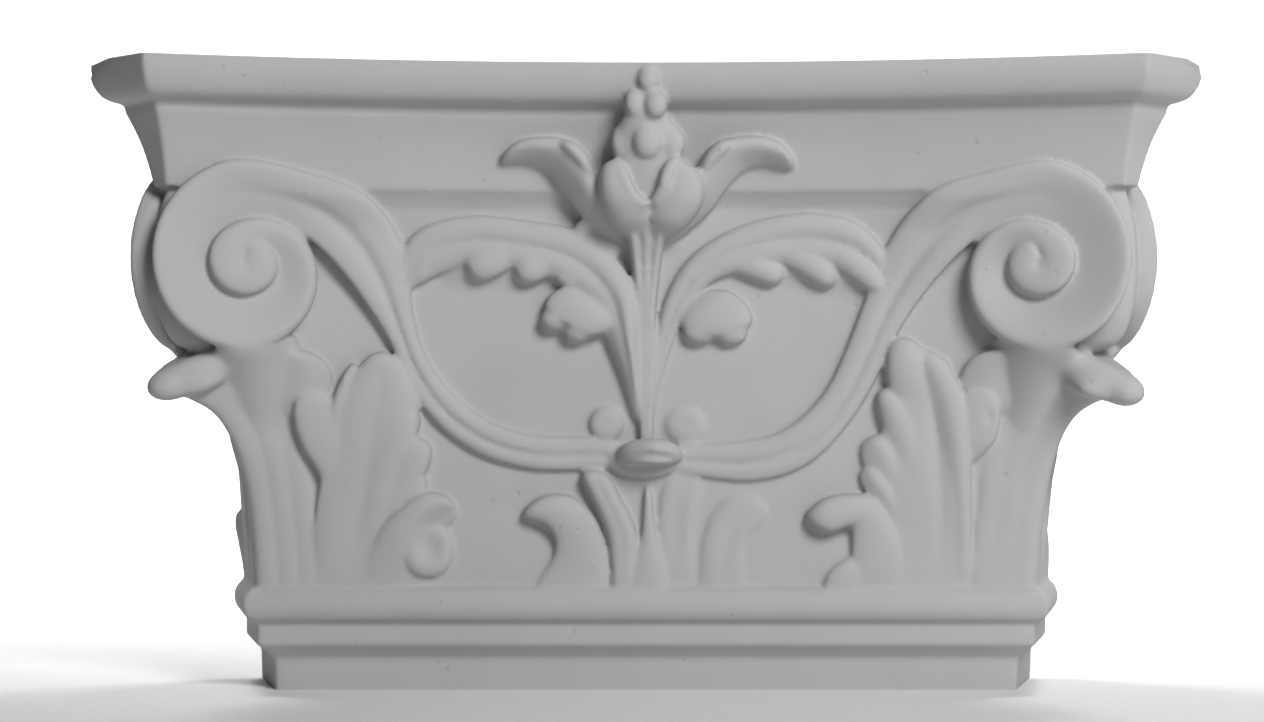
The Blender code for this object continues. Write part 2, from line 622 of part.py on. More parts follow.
def right_front_leaf():
    return [
        flat_leaf("leaf body", [
            (126.0, 38.0, 88.0, 38.0, 0, 1.8), (125.5, 58.0, 91.0, 58.0, 0, 2.8),
            (123.8, 76.0, 94.0, 72.0, 0.4, 4.2), (123.0, 94.0, 91.0, 88.0, 0.8, 5.2),
            (122.5, 108.0, 91.0, 104.0, 1.0, 5.6), (119.0, 121.0, 93.0, 116.0, 1.4, 5.4),
            (112.0, 129.0, 94.0, 128.0, 1.6, 5.0), (104.0, 135.5, 96.5, 135.5, 1.6, 4.0)],
            section=cupped(0.4, -0.36, 0.2, 0.5), base=0.02, tip=0.1, rim=0.35, fine=(56, 40)),
        carve("leaf right part", [
            (121.0, 42.0, 0.0, 4.6, 2.0), (120.4, 66.0, 0.4, 5.6, 3.8), (117.8, 88.0, 1.0, 7.6, 5.6),
            (114.4, 106.0, 1.8, 9.2, 6.4), (109.6, 120.0, 2.4, 9.0, 6.2), (104.0, 130.0, 2.6, 6.0, 5.2)],
            section=one_sided(0.15, -1), tip=0.1, rim=0.45, fine=(28, 40)),
        carve("leaf top lobe", [
            (103.0, 108.0, 1.0, 3.4, 3.0), (100.5, 118.0, 2.6, 7.0, 5.4), (99.4, 128.0, 3.4, 7.0, 6.2),
            (99.0, 137.2, 2.8, 4.6, 5.2)], base=0.3, tip=0.2, rim=0.6),
        carve("leaf finger a", [
            (110.4, 44.0, 0.0, 5.0, 1.6), (108.4, 66.0, 0.2, 6.2, 3.4), (104.2, 86.0, 0.6, 7.4, 5.2),
            (99.6, 100.0, 1.2, 7.6, 6.2), (95.0, 110.0, 1.6, 6.0, 6.0), (90.8, 117.0, 1.6, 3.6, 5.0)],
            tip=0.12, rim=0.9, fine=(28, 40)),
        carve("leaf finger b", [
            (103.2, 46.0, 0.0, 4.6, 1.4), (100.6, 64.0, 0.2, 6.4, 3.0), (96.2, 79.0, 0.4, 7.4, 4.6),
            (91.0, 90.0, 1.0, 7.4, 5.8), (86.2, 98.5, 1.2, 5.8, 5.6)],
            section=one_sided(0.6, -1), tip=0.18, rim=0.7, fine=(28, 40)),
        carve("leaf finger c", [
            (99.6, 56.0, 0.2, 3.2, 2.0), (95.4, 69.0, 0.6, 4.2, 3.4), (89.6, 78.5, 1.2, 4.8, 4.8),
            (84.2, 86.6, 1.2, 3.6, 4.6)], section=one_sided(0.5, -1), tip=0.2, rim=0.45, fine=(28, 32)),
        carve("leaf second tip", [
            (112.0, 116.0, 2.4, 4.4, 4.4), (113.6, 124.5, 2.6, 3.8, 4.4), (113.6, 129.2, 2.2, 2.0, 3.6)],
            base=0.3, tip=0.4),
        flat_leaf("leaf curl body", [
            (101.0, 38.0, 78.5, 38.0, 0, 2.0), (100.0, 48.0, 79.2, 48.0, 0.2, 3.4),
            (98.0, 58.0, 79.5, 57.0, 0.6, 4.6), (93.0, 68.5, 79.0, 64.0, 1.2, 5.6),
            (86.0, 75.6, 76.0, 63.4, 2.0, 6.4), (77.0, 76.6, 71.0, 62.0, 2.6, 7.0),
            (68.5, 74.6, 66.0, 63.6, 2.8, 6.6), (61.6, 69.6, 61.2, 66.6, 2.2, 4.6)],
            base=0.04, tip=0.12, rim=0.5),
        flat_leaf("leaf curl foot", [
            (88.0, 52.0, 84.0, 38.0, 0, 2.6), (79.0, 52.0, 76.0, 38.0, 0.2, 3.8),
            (72.5, 48.0, 70.5, 38.0, 0.2, 3.4),
            (69.0, 44.0, 68.4, 38.0, 0.2, 2.4)], base=0.2, tip=0.3),
        right_side_lobe(),
    ]


def half_leaf_fold(across, share):
    """Two folds, and low on the stalk a long slope down to the left."""
    slope = np.clip((0.42 - share) / 0.15, 0, 1) * np.clip(0.3 - across, 0, 1.3) / 1.3
    return flutes(2, 0.28)(across, share) * (1 - 0.75 * slope)


def left_half_leaf():
    return [
        flat_leaf("half leaf", [
            (5.0, 104.0, 2.0, 104.0, 1.0, 2.4), (9.0, 120.0, 2.6, 122.0, 2.4, 6.0),
            (14.0, 133.0, 3.4, 138.0, 3.0, 7.4), (21.0, 147.0, 4.6, 156.0, 2.4, 7.0),
            (31.0, 157.0, 13.4, 169.4, 1.6, 6.6), (42.5, 161.5, 27.0, 178.4, 1.6, 6.2),
            (56.0, 163.8, 46.0, 182.0, 1.6, 6.0), (68.0, 164.6, 66.0, 183.8, 1.4, 5.8),
            (79.0, 161.5, 83.0, 180.5, 1.0, 5.4), (89.0, 156.5, 93.0, 172.5, 0.6, 5.0),
            (94.5, 151.5, 97.3, 157.0, 0.2, 4.0)],
            section=half_leaf_fold, base=0.03, tip=0.06, rim=0.4, fine=(48, 60)),
        carve("hanging lobe a", [
            (79.0, 172.0, 1.0, 4.6, 4.0), (85.0, 165.0, 1.4, 5.0, 4.6),
            (90.0, 158.0, 1.0, 3.4, 4.2)], tip=0.3),
        carve("hanging lobe b", [
            (48.0, 171.0, 0.6, 4.4, 5.0), (56.0, 168.5, 1.8, 6.4, 6.2), (63.0, 165.5, 2.2, 6.8, 6.6),
            (69.0, 162.5, 1.8, 4.6, 6.0)], base=0.2, tip=0.2, rim=0.6),
        carve("hanging lobe c", [
            (32.0, 165.0, 0.6, 4.0, 4.6), (39.0, 165.5, 1.6, 5.6, 5.8), (45.0, 163.8, 2.2, 6.2, 6.4),
            (50.5, 161.4, 1.8, 4.4, 5.8)], base=0.2, tip=0.2, rim=0.6),
        carve("hanging lobe d", [
            (22.0, 157.0, 1.0, 4.4, 4.4), (29.0, 160.0, 2.0, 4.6, 5.4), (35.0, 162.0, 2.2, 3.4, 5.0)],
            base=0.2, tip=0.3),
        flat_leaf("round lobe", [
            (26.0, 157.5, 12.0, 150.0, 1.0, 5.0), (34.0, 155.5, 12.0, 143.0, 2.4, 6.4),
            (38.5, 151.5, 14.0, 140.5, 2.8, 6.8), (38.4, 147.0, 18.0, 138.0, 2.8, 6.6),
            (33.5, 143.5, 22.5, 137.5, 2.4, 6.0), (28.5, 141.5, 27.0, 140.0, 2.0, 5.0)],
            base=0.2, tip=0.2, rim=0.45, fine=(40, 32)),
        pad("lobe scallop", 35.4, 144.0, 5.4, 4.6, 2.4, 6.4, rim=0.6),
        pad("lobe scallop", 26.4, 139.4, 5.4, 4.4, 2.2, 6.2, rim=0.6),
        flat_leaf("hanging edge", [
            (80.0, 158.0, 82.0, 171.0, 0.2, 2.0), (71.0, 155.0, 71.0, 170.0, 0.2, 3.2),
            (60.0, 155.0, 60.0, 170.0, 0.2, 3.6), (50.0, 156.0, 50.0, 170.0, 0.2, 3.6),
            (40.0, 156.4, 38.0, 168.0, 0.2, 3.6), (30.0, 154.0, 27.0, 162.0, 0.2, 3.0)],
            section=one_sided(0.05), base=0.12, tip=0.12, rim=0.4),
        carve("small bud", [
            (12.0, 176.0, 1.0, 2.4, 3.4), (17.5, 180.4, 1.4, 2.8, 4.0), (23.0, 180.6, 1.8, 2.8, 4.6),
            (26.0, 177.0, 1.8, 2.4, 4.4), (25.6, 172.6, 1.2, 1.8, 3.6)], base=0.2, tip=0.3, rim=0.6),
        flat_leaf("small bud body", [
            (20.0, 181.0, 6.0, 172.0, 0.6, 3.4), (26.0, 178.0, 12.0, 168.0, 0.8, 4.2),
            (25.0, 173.0, 18.0, 168.0, 0.8, 3.4)], base=0.3, tip=0.3, rim=0.5),
    ]


def right_half_leaf():
    return [
        flat_leaf("half leaf", [
            (3.2, 106.0, 2.4, 106.0, 0, 1.6), (6.0, 122.0, 3.0, 122.0, 0.4, 2.8),
            (11.5, 138.0, 4.0, 138.0, 0.6, 3.4), (18.0, 150.0, 8.0, 154.0, 0.8, 4.2),
            (26.0, 158.5, 17.0, 168.0, 1.0, 4.8), (38.0, 162.8, 31.0, 177.5, 1.4, 5.2),
            (50.0, 165.0, 47.0, 183.0, 1.4, 5.4), (63.5, 164.8, 64.0, 184.8, 1.4, 5.6),
            (75.5, 162.6, 80.0, 181.5, 1.4, 5.8), (85.0, 157.6, 90.5, 172.0, 1.0, 5.4),
            (91.0, 154.0, 94.5, 157.0, 0.4, 4.4)],
            section=flutes(2, 0.34), base=0.03, tip=0.06, rim=0.4, fine=(48, 60)),
        carve("hanging lobe a", [
            (66.0, 173.0, 0.8, 4.4, 4.4), (77.0, 167.0, 1.8, 5.4, 5.8), (86.0, 160.0, 2.2, 4.8, 6.0),
            (92.0, 153.6, 1.2, 2.8, 4.6)], base=0.2, tip=0.2),
        carve("hanging lobe b", [
            (49.0, 171.5, 0.8, 4.2, 4.2), (59.0, 167.5, 1.6, 5.4, 5.6), (67.0, 162.4, 2.0, 5.2, 5.8),
            (72.5, 157.0, 1.4, 3.2, 5.0)], base=0.2, tip=0.22),
        carve("hanging lobe c", [
            (31.0, 166.5, 0.8, 3.8, 4.0), (40.5, 164.8, 1.4, 5.0, 5.2), (48.5, 161.6, 1.6, 4.6, 5.2),
            (52.5, 159.2, 1.2, 3.0, 4.4)], base=0.2, tip=0.25),
        flat_leaf("round lobe", [
            (12.0, 146.0, 22.0, 157.0, 1.0, 4.0), (13.0, 142.5, 31.0, 155.5, 1.8, 5.4),
            (15.5, 140.0, 38.0, 150.5, 2.4, 6.0), (20.5, 137.5, 41.0, 144.5, 2.4, 6.0),
            (27.5, 137.0, 39.0, 140.5, 1.8, 5.0), (31.0, 138.0, 35.0, 139.0, 1.0, 3.6)],
            base=0.25, tip=0.2, rim=0.5, fine=(40, 32)),
        pad("lobe scallop", 20.6, 139.4, 6.4, 4.8, 2.0, 5.6, rim=0.6),
        pad("lobe scallop", 33.0, 138.8, 6.0, 4.6, 1.8, 5.4, rim=0.6),
        flat_leaf("hanging edge", [
            (38.0, 161.0, 36.0, 169.0, 0.2, 2.6), (49.0, 158.0, 47.0, 170.0, 0.2, 3.4),
            (61.0, 155.4, 59.0, 171.0, 0.2, 3.8), (73.0, 153.0, 72.0, 171.0, 0.2, 4.0),
            (84.0, 151.0, 85.0, 167.0, 0.2, 3.8), (91.0, 150.4, 93.0, 158.0, 0.2, 3.0)],
            section=one_sided(0.05), base=0.12, tip=0.12, rim=0.4),
    ]


# The flower on the middle of the abacus and what carries it


def stem():
    forms = [
        carve("stem reed", [
            (offset * 0.7, 92.0, 1.0, 1.2, 3.4), (offset, 118.0, 1.2, 1.2, 4.2),
            (offset * 1.2, 145.0, 1.6, 1.4, 4.6),
            (offset * 1.9, 165.0, 2.4, 2.0, 6.2), (offset * 2.6, 176.0, 5.0, 2.6, 9.0),
            (offset * 3.2, 187.0, 10.0, 3.0, 11.0)], fine=(16, 40))
        for offset in (-1.9, 0.0, 1.9)
    ]
    forms.append(carve("stem head", [
        (0.0, 150.0, 0.0, 2.4, 1.6), (0.0, 163.0, 1.0, 4.4, 3.4), (0.0, 174.0, 3.6, 7.0, 6.0),
        (0.0, 183.0, 7.0, 9.5, 9.0), (0.0, 190.0, 9.0, 10.0, 10.0)], tip=0.3))
    return forms


def petals():
    return [
        finish_side(flat_leaf("left petal", [
            (6.0, 173.0, -2.0, 177.0, -24.0, 8.0), (13.5, 180.0, -2.2, 182.5, -19.0, 11.0),
            (17.4, 188.0, -0.5, 187.2, -14.0, 11.0), (18.0, 196.0, 4.4, 190.5, -12.0, 10.0),
            (16.4, 202.0, 8.2, 198.5, -11.5, 8.5), (12.6, 204.6, 11.2, 203.8, -11.0, 6.0)],
            ground=abacus_front, base=0.2, tip=0.16, rim=0.55, under=20.0), -1),
        flat_leaf("right petal", [
            (-2.0, 178.0, 6.0, 173.0, -24.0, 8.0), (-0.4, 183.0, 15.0, 179.0, -19.0, 11.0),
            (3.0, 188.4, 21.0, 187.0, -15.0, 11.0), (6.2, 194.0, 22.0, 194.5, -13.0, 10.0),
            (8.0, 200.5, 20.0, 200.0, -12.5, 8.5), (11.0, 204.6, 16.0, 203.2, -12.0, 6.0)],
            ground=abacus_front, base=0.2, tip=0.16, rim=0.55, under=20.0),
        carve("left petal rim", [
            (-13.0, 203.4, -6.4, 2.0, 2.8), (-9.4, 199.0, -5.4, 2.4, 3.4), (-7.0, 193.2, -5.0, 2.4, 3.6),
            (-4.0, 189.0, -5.8, 2.2, 3.4), (0.6, 186.6, -8.0, 1.8, 3.0)], abacus_front, base=0.12, under=8.0),
        carve("right petal rim", [
            (13.8, 204.2, -7.2, 2.0, 2.8), (9.9, 202.0, -5.8, 2.4, 3.8), (7.6, 197.6, -5.2, 2.5, 4.2),
            (6.2, 192.6, -5.8, 2.3, 3.8), (1.8, 186.8, -8.2, 1.8, 3.0)], abacus_front, base=0.12, under=8.0),
        pad("flower foot", 0.0, 181.0, 9.0, 8.0, -30.0, 14.0, abacus_front, under=8.0),
    ]


BERRIES = (
    # x, z, forward of the abacus face, half width, half height
    (0.8, 233.8, -0.5, 4.0, 4.9), (-4.6, 225.0, -2.0, 3.6, 5.0), (3.6, 224.3, -0.5, 4.2, 5.2),
    (-9.4, 211.0, -9.5, 3.8, 6.8), (0.4, 210.6, -5.0, 5.6, 6.6), (9.6, 210.8, -8.5, 5.2, 6.2),
)


def berries():
    forms = [
        pad("berry", x, z, width, height, forward, width, abacus_front, under=width + 10.0)
        for x, z, forward, width, height in BERRIES
    ]
    forms.append(carve("berry core", [
        (0.0, 178.0, -26.0, 3.0, 6.0), (0.0, 189.0, -18.0, 6.5, 8.0), (-0.5, 201.0, -13.0, 10.5, 8.0),
        (0.0, 212.0, -11.5, 12.4, 8.0), (0.0, 221.0, -7.5, 8.6, 7.0), (0.4, 230.0, -5.5, 5.2, 6.0),
        (0.6, 236.6, -4.5, 3.4, 5.0)], abacus_front, base=0.2, tip=0.1, under=20.0))
    return forms


def flower_leaves(side):
    left = [
        (4.0, 170.0, -30.0, 10.0, 176.0, -30.0, 4.0), (14.0, 175.0, -28.0, 17.0, 188.0, -24.0, 8.0),
        (24.0, 183.0, -25.0, 19.0, 198.0, -20.0, 11.0), (32.0, 193.0, -23.0, 23.0, 206.0, -18.0, 11.0),
        (38.5, 200.4, -22.0, 30.0, 212.0, -17.0, 10.4), (45.0, 203.0, -21.0, 39.0, 213.2, -16.5, 9.6),
        (51.0, 203.0, -20.0, 48.5, 211.6, -17.0, 8.4), (56.2, 201.8, -19.5, 56.0, 206.4, -18.5, 6.4)]
    right = [
        (4.0, 170.0, -30.0, 10.0, 176.0, -30.0, 4.0), (14.0, 176.0, -28.0, 17.0, 188.0, -24.0, 8.0),
        (24.6, 185.4, -25.0, 19.0, 198.0, -20.0, 11.0), (31.0, 194.0, -23.0, 21.6, 206.0, -18.0, 11.0),
        (38.0, 200.4, -22.0, 28.0, 211.6, -17.0, 10.4), (45.0, 202.4, -21.0, 39.0, 213.6, -16.5, 9.6),
        (52.0, 201.4, -20.0, 50.0, 211.8, -17.0, 8.4), (56.0, 199.6, -19.5, 57.8, 204.4, -18.5, 6.4)]
    fold = [
        (20.5, 197.0, -14.0, 2.0, 5.0), (24.6, 204.6, -12.0, 3.0, 6.0), (29.4, 209.0, -11.4, 3.0, 6.0),
        (34.0, 210.4, -12.0, 2.0, 5.0)]
    forms = [
        leaf("flower leaf", left if side < 0 else right, ground=abacus_front, section=one_sided(0.6),
             base=0.06, tip=0.12, rim=0.55, under=14.0),
        carve("flower leaf fold", fold, abacus_front, base=0.3, tip=0.4, rim=1.0, under=10.0),
    ]
    return [finish_side(form, side) for form in forms]


def boss():
    """The knot over the scrolls' feet: a leaf tip that bends forward and down."""
    return [
        pad("boss", -1.0, 89.6, 7.2, 14.0, 1.0, 6.0, lean=pi / 2),
        carve("boss lip", [
            (-11.5, 90.5, 4.0, 3.4, 5.0), (-4.5, 92.6, 8.0, 4.8, 7.0), (3.0, 93.2, 10.0, 5.2, 7.6),
            (9.5, 92.2, 8.0, 4.4, 6.6), (13.8, 90.0, 4.0, 2.4, 4.4)], section=cupped(0.4, -0.3, 0.3, 0.4),
            base=0.2, tip=0.2, under=5.0, fine=(24, 24)),
    ]


def lower_leaves():
    left = [
        flat_leaf("rolled leaf", [
            (13.0, 38.0, 5.5, 38.0, 0.2, 2.6), (13.6, 50.0, 4.0, 50.0, 0.4, 3.6),
            (15.0, 60.0, 3.6, 60.0, 1.0, 4.6),
            (18.4, 69.0, 6.0, 68.0, 1.6, 5.4), (22.6, 77.5, 9.6, 74.5, 2.0, 6.0),
            (25.0, 83.5, 12.5, 80.5, 2.2, 6.2),
            (23.0, 86.6, 15.5, 85.6, 2.0, 5.2)], section=flutes(2, 0.16), base=0.04, tip=0.14),
        flat_leaf("outer leaf", [
            (44.0, 38.0, 15.0, 38.0, 0, 2.2), (40.0, 45.5, 15.0, 48.0, 0.2, 2.8),
            (36.2, 52.0, 16.5, 58.0, 0.6, 3.8),
            (35.4, 58.6, 20.5, 68.0, 1.6, 5.0), (38.4, 64.0, 28.5, 75.6, 2.4, 5.8),
            (43.2, 66.4, 38.5, 76.2, 2.6, 5.6),
            (48.8, 67.4, 46.8, 71.6, 2.0, 4.0)], base=0.03, tip=0.1, rim=0.65, fine=(40, 32)),
        pad("bud over boss", 15.4, 103.6, 6.8, 6.6, 0.6, 3.8, section=cupped(0.25)),
    ]
    right = [
        flat_leaf("rolled leaf", [
            (9.5, 38.0, 19.5, 38.0, 0, 0.8), (7.0, 50.0, 18.5, 50.0, 0, 1.2),
            (5.0, 62.0, 18.0, 62.0, 0.2, 1.6),
            (5.5, 74.0, 20.0, 74.0, 0.4, 2.0), (8.0, 86.0, 23.0, 85.0, 0.4, 2.0)],
            section=cupped(0.6, 0.0, 0.5, 0.4), base=0.04, tip=0.2, rim=0.8),
        flat_leaf("outer leaf", [
            (20.6, 38.0, 40.0, 38.0, 0, 1.2), (21.0, 48.0, 37.5, 48.0, 0, 1.7),
            (22.0, 58.0, 37.5, 56.0, 0.2, 2.0),
            (26.0, 69.0, 40.0, 61.5, 0.3, 2.2), (33.0, 75.2, 43.5, 65.0, 0.4, 2.0),
            (41.5, 75.0, 46.5, 68.0, 0.2, 1.6),
            (46.5, 72.0, 48.0, 70.0, 0.0, 1.0)], section=cupped(0.5, 0.2, 0.4, 0.5),
            base=0.03, tip=0.15, rim=0.7),
        pad("bud over boss", 15.2, 103.2, 8.0, 7.0, 0.2, 2.4, section=cupped(0.3)),
    ]
    stalk = flat_leaf("stalk", [
        (-7.0, 38.0, 9.6, 38.0, 0.2, 2.6), (-4.6, 48.0, 7.0, 48.0, 0.4, 3.2),
        (-2.4, 58.0, 4.6, 58.0, 0.6, 3.4),
        (-1.2, 68.0, 2.8, 68.0, 0.8, 3.4), (-0.8, 80.0, 2.0, 80.0, 0.8, 3.0)])
    return [finish_side(form, -1) for form in left] + right + [stalk]


def carving():
    """All the carved forms, each a closed mesh that sinks into the body."""
    forms = []
    left = left_front_leaf() + left_volute() + [corner_leaf(0.35)]
    right = right_front_leaf() + right_volute() + [corner_leaf(0.15)]
    for side, corner, droop in ((-1, left, 0.0), (1, right, 2.0)):
        corner += [corner_lip(droop)] + corner_shoulder()
        corner += [reflect_round_corner(form) for form in corner]
        corner += [corner_tip(droop), corner_drum()]
        forms += [finish_side(form, side) for form in corner]
    forms += [finish_side(form, -1) for form in left_half_leaf()]
    forms += right_half_leaf()
    forms += stem() + boss() + lower_leaves()
    forms += flower_leaves(-1) + flower_leaves(1) + petals() + berries()
    return forms


# The casting


def join(forms, name):
    bpy.ops.object.select_all(action="DESELECT")
    for form in forms:
        form.select_set(True)
    bpy.context.view_layer.objects.active = forms[0]
    bpy.ops.object.join()
    joined = bpy.context.object
    joined.name = name
    joined.data.name = name
    return joined


def wall_box():
    """What is left of the casting: in front of the wall, above the seat and below the top."""
    depth = HORN_FRONT + 0.05
    bpy.ops.mesh.primitive_cube_add(size=1.0, location=(0, WALL_Y - depth / 2, TOP_Z / 2))
    box = bpy.context.object
    box.name = "wall and bed planes"
    box.scale = (ABACUS_WIDTH + 0.1, depth, TOP_Z)
    bpy.ops.object.transform_apply(location=True, rotation=False, scale=True)
    box.hide_render = True
    box.display_type = "WIRE"
    return box


def cast(capital, box):
    """One skin round all the forms, thinned, and cut flat along the wall, the seat and the top."""
    skin = capital.modifiers.new("one skin", "REMESH")
    skin.mode = "VOXEL"
    skin.voxel_size = VOXEL
    soften = capital.modifiers.new("soft edges", "SMOOTH")
    soften.factor = 0.5
    soften.iterations = 1
    thin = capital.modifiers.new("fewer faces", "DECIMATE")
    thin.ratio = KEPT_FACES
    cut = capital.modifiers.new("flat faces", "BOOLEAN")
    cut.operation = "INTERSECT"
    cut.solver = "EXACT"
    cut.object = box


def collect(name, things):
    collection = bpy.data.collections.new(name)
    bpy.context.scene.collection.children.link(collection)
    for thing in things:
        for old in list(thing.users_collection):
            old.objects.unlink(thing)
        collection.objects.link(thing)


def main():
    start_clean()
    capital = join([body()] + carving(), "capital")
    capital.data.materials.clear()
    capital.data.materials.append(plaster())
    box = wall_box()
    cast(capital, box)
    collect("pilaster capital", [capital])
    collect("cutters", [box])


main()
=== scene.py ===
# Looks of the plaster pilaster capital: the finely carved casting, its plaster, and the studio round it.
#
# A point of the casting is given by x, by its forward distance from the wall plane, and by z. The front
# and the sides of a corner are mirror images in the vertical plane of the corner's diagonal, so the corner
# carving is made once on the front and reflected onto the side, where the wall plane cuts it off.
#
# The carving is drawn in millimetres on a sheet, in front view: x from the middle, z from the foot, for a
# capital 420 wide and 240 high. Everything here is that drawing, stretched to the frame's own size.
from math import cos, pi, radians, sin, tan

import bpy
import numpy as np
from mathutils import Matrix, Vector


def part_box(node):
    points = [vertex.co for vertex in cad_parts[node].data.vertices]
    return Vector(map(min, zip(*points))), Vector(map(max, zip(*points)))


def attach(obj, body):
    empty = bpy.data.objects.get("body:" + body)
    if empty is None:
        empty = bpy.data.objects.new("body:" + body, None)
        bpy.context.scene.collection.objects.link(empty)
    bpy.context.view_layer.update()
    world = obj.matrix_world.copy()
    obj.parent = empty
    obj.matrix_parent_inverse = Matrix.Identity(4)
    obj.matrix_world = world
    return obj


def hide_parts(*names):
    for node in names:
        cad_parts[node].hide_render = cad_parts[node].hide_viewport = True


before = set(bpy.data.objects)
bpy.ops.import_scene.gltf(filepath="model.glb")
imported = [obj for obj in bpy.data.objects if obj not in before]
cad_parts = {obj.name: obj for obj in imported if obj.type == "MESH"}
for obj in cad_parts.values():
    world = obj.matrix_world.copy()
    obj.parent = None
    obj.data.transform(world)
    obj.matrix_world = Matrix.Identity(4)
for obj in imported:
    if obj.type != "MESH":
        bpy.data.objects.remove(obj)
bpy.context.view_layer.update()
bpy.ops.object.select_all(action="DESELECT")

# The drawing
MM = 0.001
SHEET_WIDTH = 420
SHEET_BELL_WIDTH = 300
SHEET_FOOT = 40.7           # the foot of the bell on the sheet
SHEET_BELL = 152.3          # the height of the bell on the sheet

# The casting's sizes, from the frame
LOW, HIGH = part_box("capital")
UNIT = (HIGH.x - LOW.x) / SHEET_WIDTH           # a millimetre of the drawing, on the capital
ABACUS_WIDTH = 420 * UNIT
ABACUS_HEIGHT = 47 * UNIT
ABACUS_DISH = 28 * UNIT
HORN_CUT = 26 * UNIT
OVOLO_PROJECTION = 13 * UNIT
FILLET_STEP = 0.8 * UNIT
COVE_PROJECTION = 10.5 * UNIT
BELL_WIDTH = 300 * UNIT
BELL_DEPTH = 52 * UNIT
ASTRAGAL_HEIGHT = 14.3 * UNIT
ASTRAGAL_PROJECTION = 6 * UNIT
FILLET_HEIGHT = 8.6 * UNIT
FILLET_PROJECTION = 1 * UNIT
NECK_HEIGHT = 17.8 * UNIT
NECK_INSET = 5 * UNIT
SIDE_SPLAY = 12 * UNIT
VOLUTE_HEIGHT = 72 * UNIT
VOLUTE_THICKNESS = 10 * UNIT
VOLUTE_TURN = radians(22)
VOLUTE_SETBACK = 21 * UNIT
SQUARE_CUT = 0.0006         # of the sharp corners below the bell
FOOT_TAPER = 0.0005         # the neck is this much narrower at its foot
ASTRAGAL_GAP = 0.0006       # between the top of the fillet and the astragal
EDGE = 0.0012               # the small round edge above the ovolo
CUT_SHARE = 0.82            # how much of a plan's inset is taken off the cut of its horn
SINK = 0.004                # how deep a carved form reaches below the surface it lies on
VALLEY = 0.0012             # how soft the valley is between the bell and the volute's plane
COVE_SINK = 0.0015          # how far the scroll's ground lies below the cove
CLIMB_START = 0.016         # how far under the abacus that ground starts to leave the bell
CLIMB = 0.022               # the height over which it passes to the cove

# Heights
FILLET_Z = NECK_HEIGHT
ASTRAGAL_Z = FILLET_Z + FILLET_HEIGHT
BELL_Z = ASTRAGAL_Z + ASTRAGAL_HEIGHT
TOP_Z = HIGH.z
ABACUS_Z = TOP_Z - ABACUS_HEIGHT
BELL_HEIGHT = ABACUS_Z - BELL_Z

# Plan
DIAGONAL = BELL_WIDTH / 2 - BELL_DEPTH
HORN_FRONT = ABACUS_WIDTH / 2 - DIAGONAL
HORN_X = ABACUS_WIDTH / 2 - HORN_CUT
ABACUS_FACE = HORN_FRONT - ABACUS_DISH
NECK_DEPTH = BELL_DEPTH - NECK_INSET
WALL_Y = HIGH.y
BEHIND = 0.006              # what the cuts along the wall, the foot and the top take off

# Fineness of the casting
FINENESS = 2                # multiplies the points along and across each carved form
VOXEL = 0.0009
MOST_TRIANGLES = 190000
SMOOTHING = 8               # rounds of smoothing all over
SMOOTH_ANGLE = radians(40)  # edges sharper than this stay sharp
CRUMB = 0.00005             # points closer than this are merged
CUT_CORNERS = 50            # a face with more corners than this is a flat cut

# Rounded forms: their middles on the sheet, their reach and the rounds of smoothing
LIP = (170.0, 122.0, 6.0)   # x, z and how far it lies in front of the diagonal
LIP_REACH = 0.024
LIP_SMOOTHING = 30
FLOWER = (0.0, 196.0)
FLOWER_REACH = 0.040
FLOWER_SMOOTHING = 5

# Wear at the tips of the horns
WORN_REACH = 0.011
WORN_DEPTH = 0.0032
WORN_WAY = (0.55, 0.8)      # how far the worn surface goes inwards and down
WORN_ROUGHNESS = 0.35       # share of the depth
WAVES = (900, 700)          # of the roughness, along z and y

# The plaster: its tones, the painted shade in its hollows and pits, the scales of its patterns and its bumps
PLASTER_DARK = (0.36, 0.36, 0.36, 1.0)
PLASTER_LIGHT = (0.46, 0.46, 0.46, 1.0)
MOTTLE_SCALE = 38.0
PATCH_SCALE = 9.0
GRAIN_SCALE = 2300.0
LUMP_SCALE = 210.0
PIT_SCALE = 120.0
PIT_CHOICE_SCALE = 55.0
PIT_CHOICE = (0.60, 0.66)   # noise values from which a cell has its pit
PIT_EDGE = (0.05, 0.16)     # a pit's floor and rim
MOTTLE_TONE, PATCH_TONE, GRAIN_TONE = 0.4, 0.3, 0.4
TONE_SHIFT = 0.05
HOLLOW_SHADE_TONE, PIT_SHADE_TONE = 0.10, 0.35  # painted shade: how much darker the hollows and the pits are painted
HOLLOW = (0.42, 0.50)       # pointiness of a deep and of a slight hollow, for the painted shade
WALL_FACE = (0.98, 0.999)   # how squarely a surface faces the wall; such a surface gets no painted shade
BUMP_STRENGTH = 0.35
BUMP_DEPTH = 0.0004

# The studio
SWEEP_LENGTH = 5.2
SWEEP_WIDTH = 5.0
SWEEP_FRONT = 1.6           # from the capital forwards
SWEEP_FLAT = 1.2            # from the capital back to the start of the curve
SWEEP_RADIUS = 0.7
SWEEP_STEPS = 80
SWEEP_COLOUR = (0.76, 0.76, 0.76, 1)
MIDDLE = (0, -0.05, 0.12)   # of the capital
KEY_AZIMUTH = radians(26)   # to the right of straight ahead
KEY_ELEVATION = radians(28)
KEY_DISTANCE = 1.3
KEY_POWER = 15.0
KEY_SIZE = 0.42
BACKDROP_PLACE = (0.6, 0.65, 1.5)   # of the right one of two lights, which mirror each other
BACKDROP_TARGET = (0.3, 1.2, 0.0)
BACKDROP_POWER = 17.0
BACKDROP_SIZE = 0.5
BACKDROP_SPREAD = 105
WORLD_STRENGTH = 0.012
CAMERA_DISTANCE = 0.972     # in front of the horns
CAMERA_HEIGHT = 0.113
FRAME_WIDTH, FRAME_HEIGHT = 1264, 722
PIXELS_PER_METRE = 2737     # in the horns' plane
MIDDLE_PIXEL = (646, 400)   # where the camera's level axis meets the photograph
SENSOR = 36.0


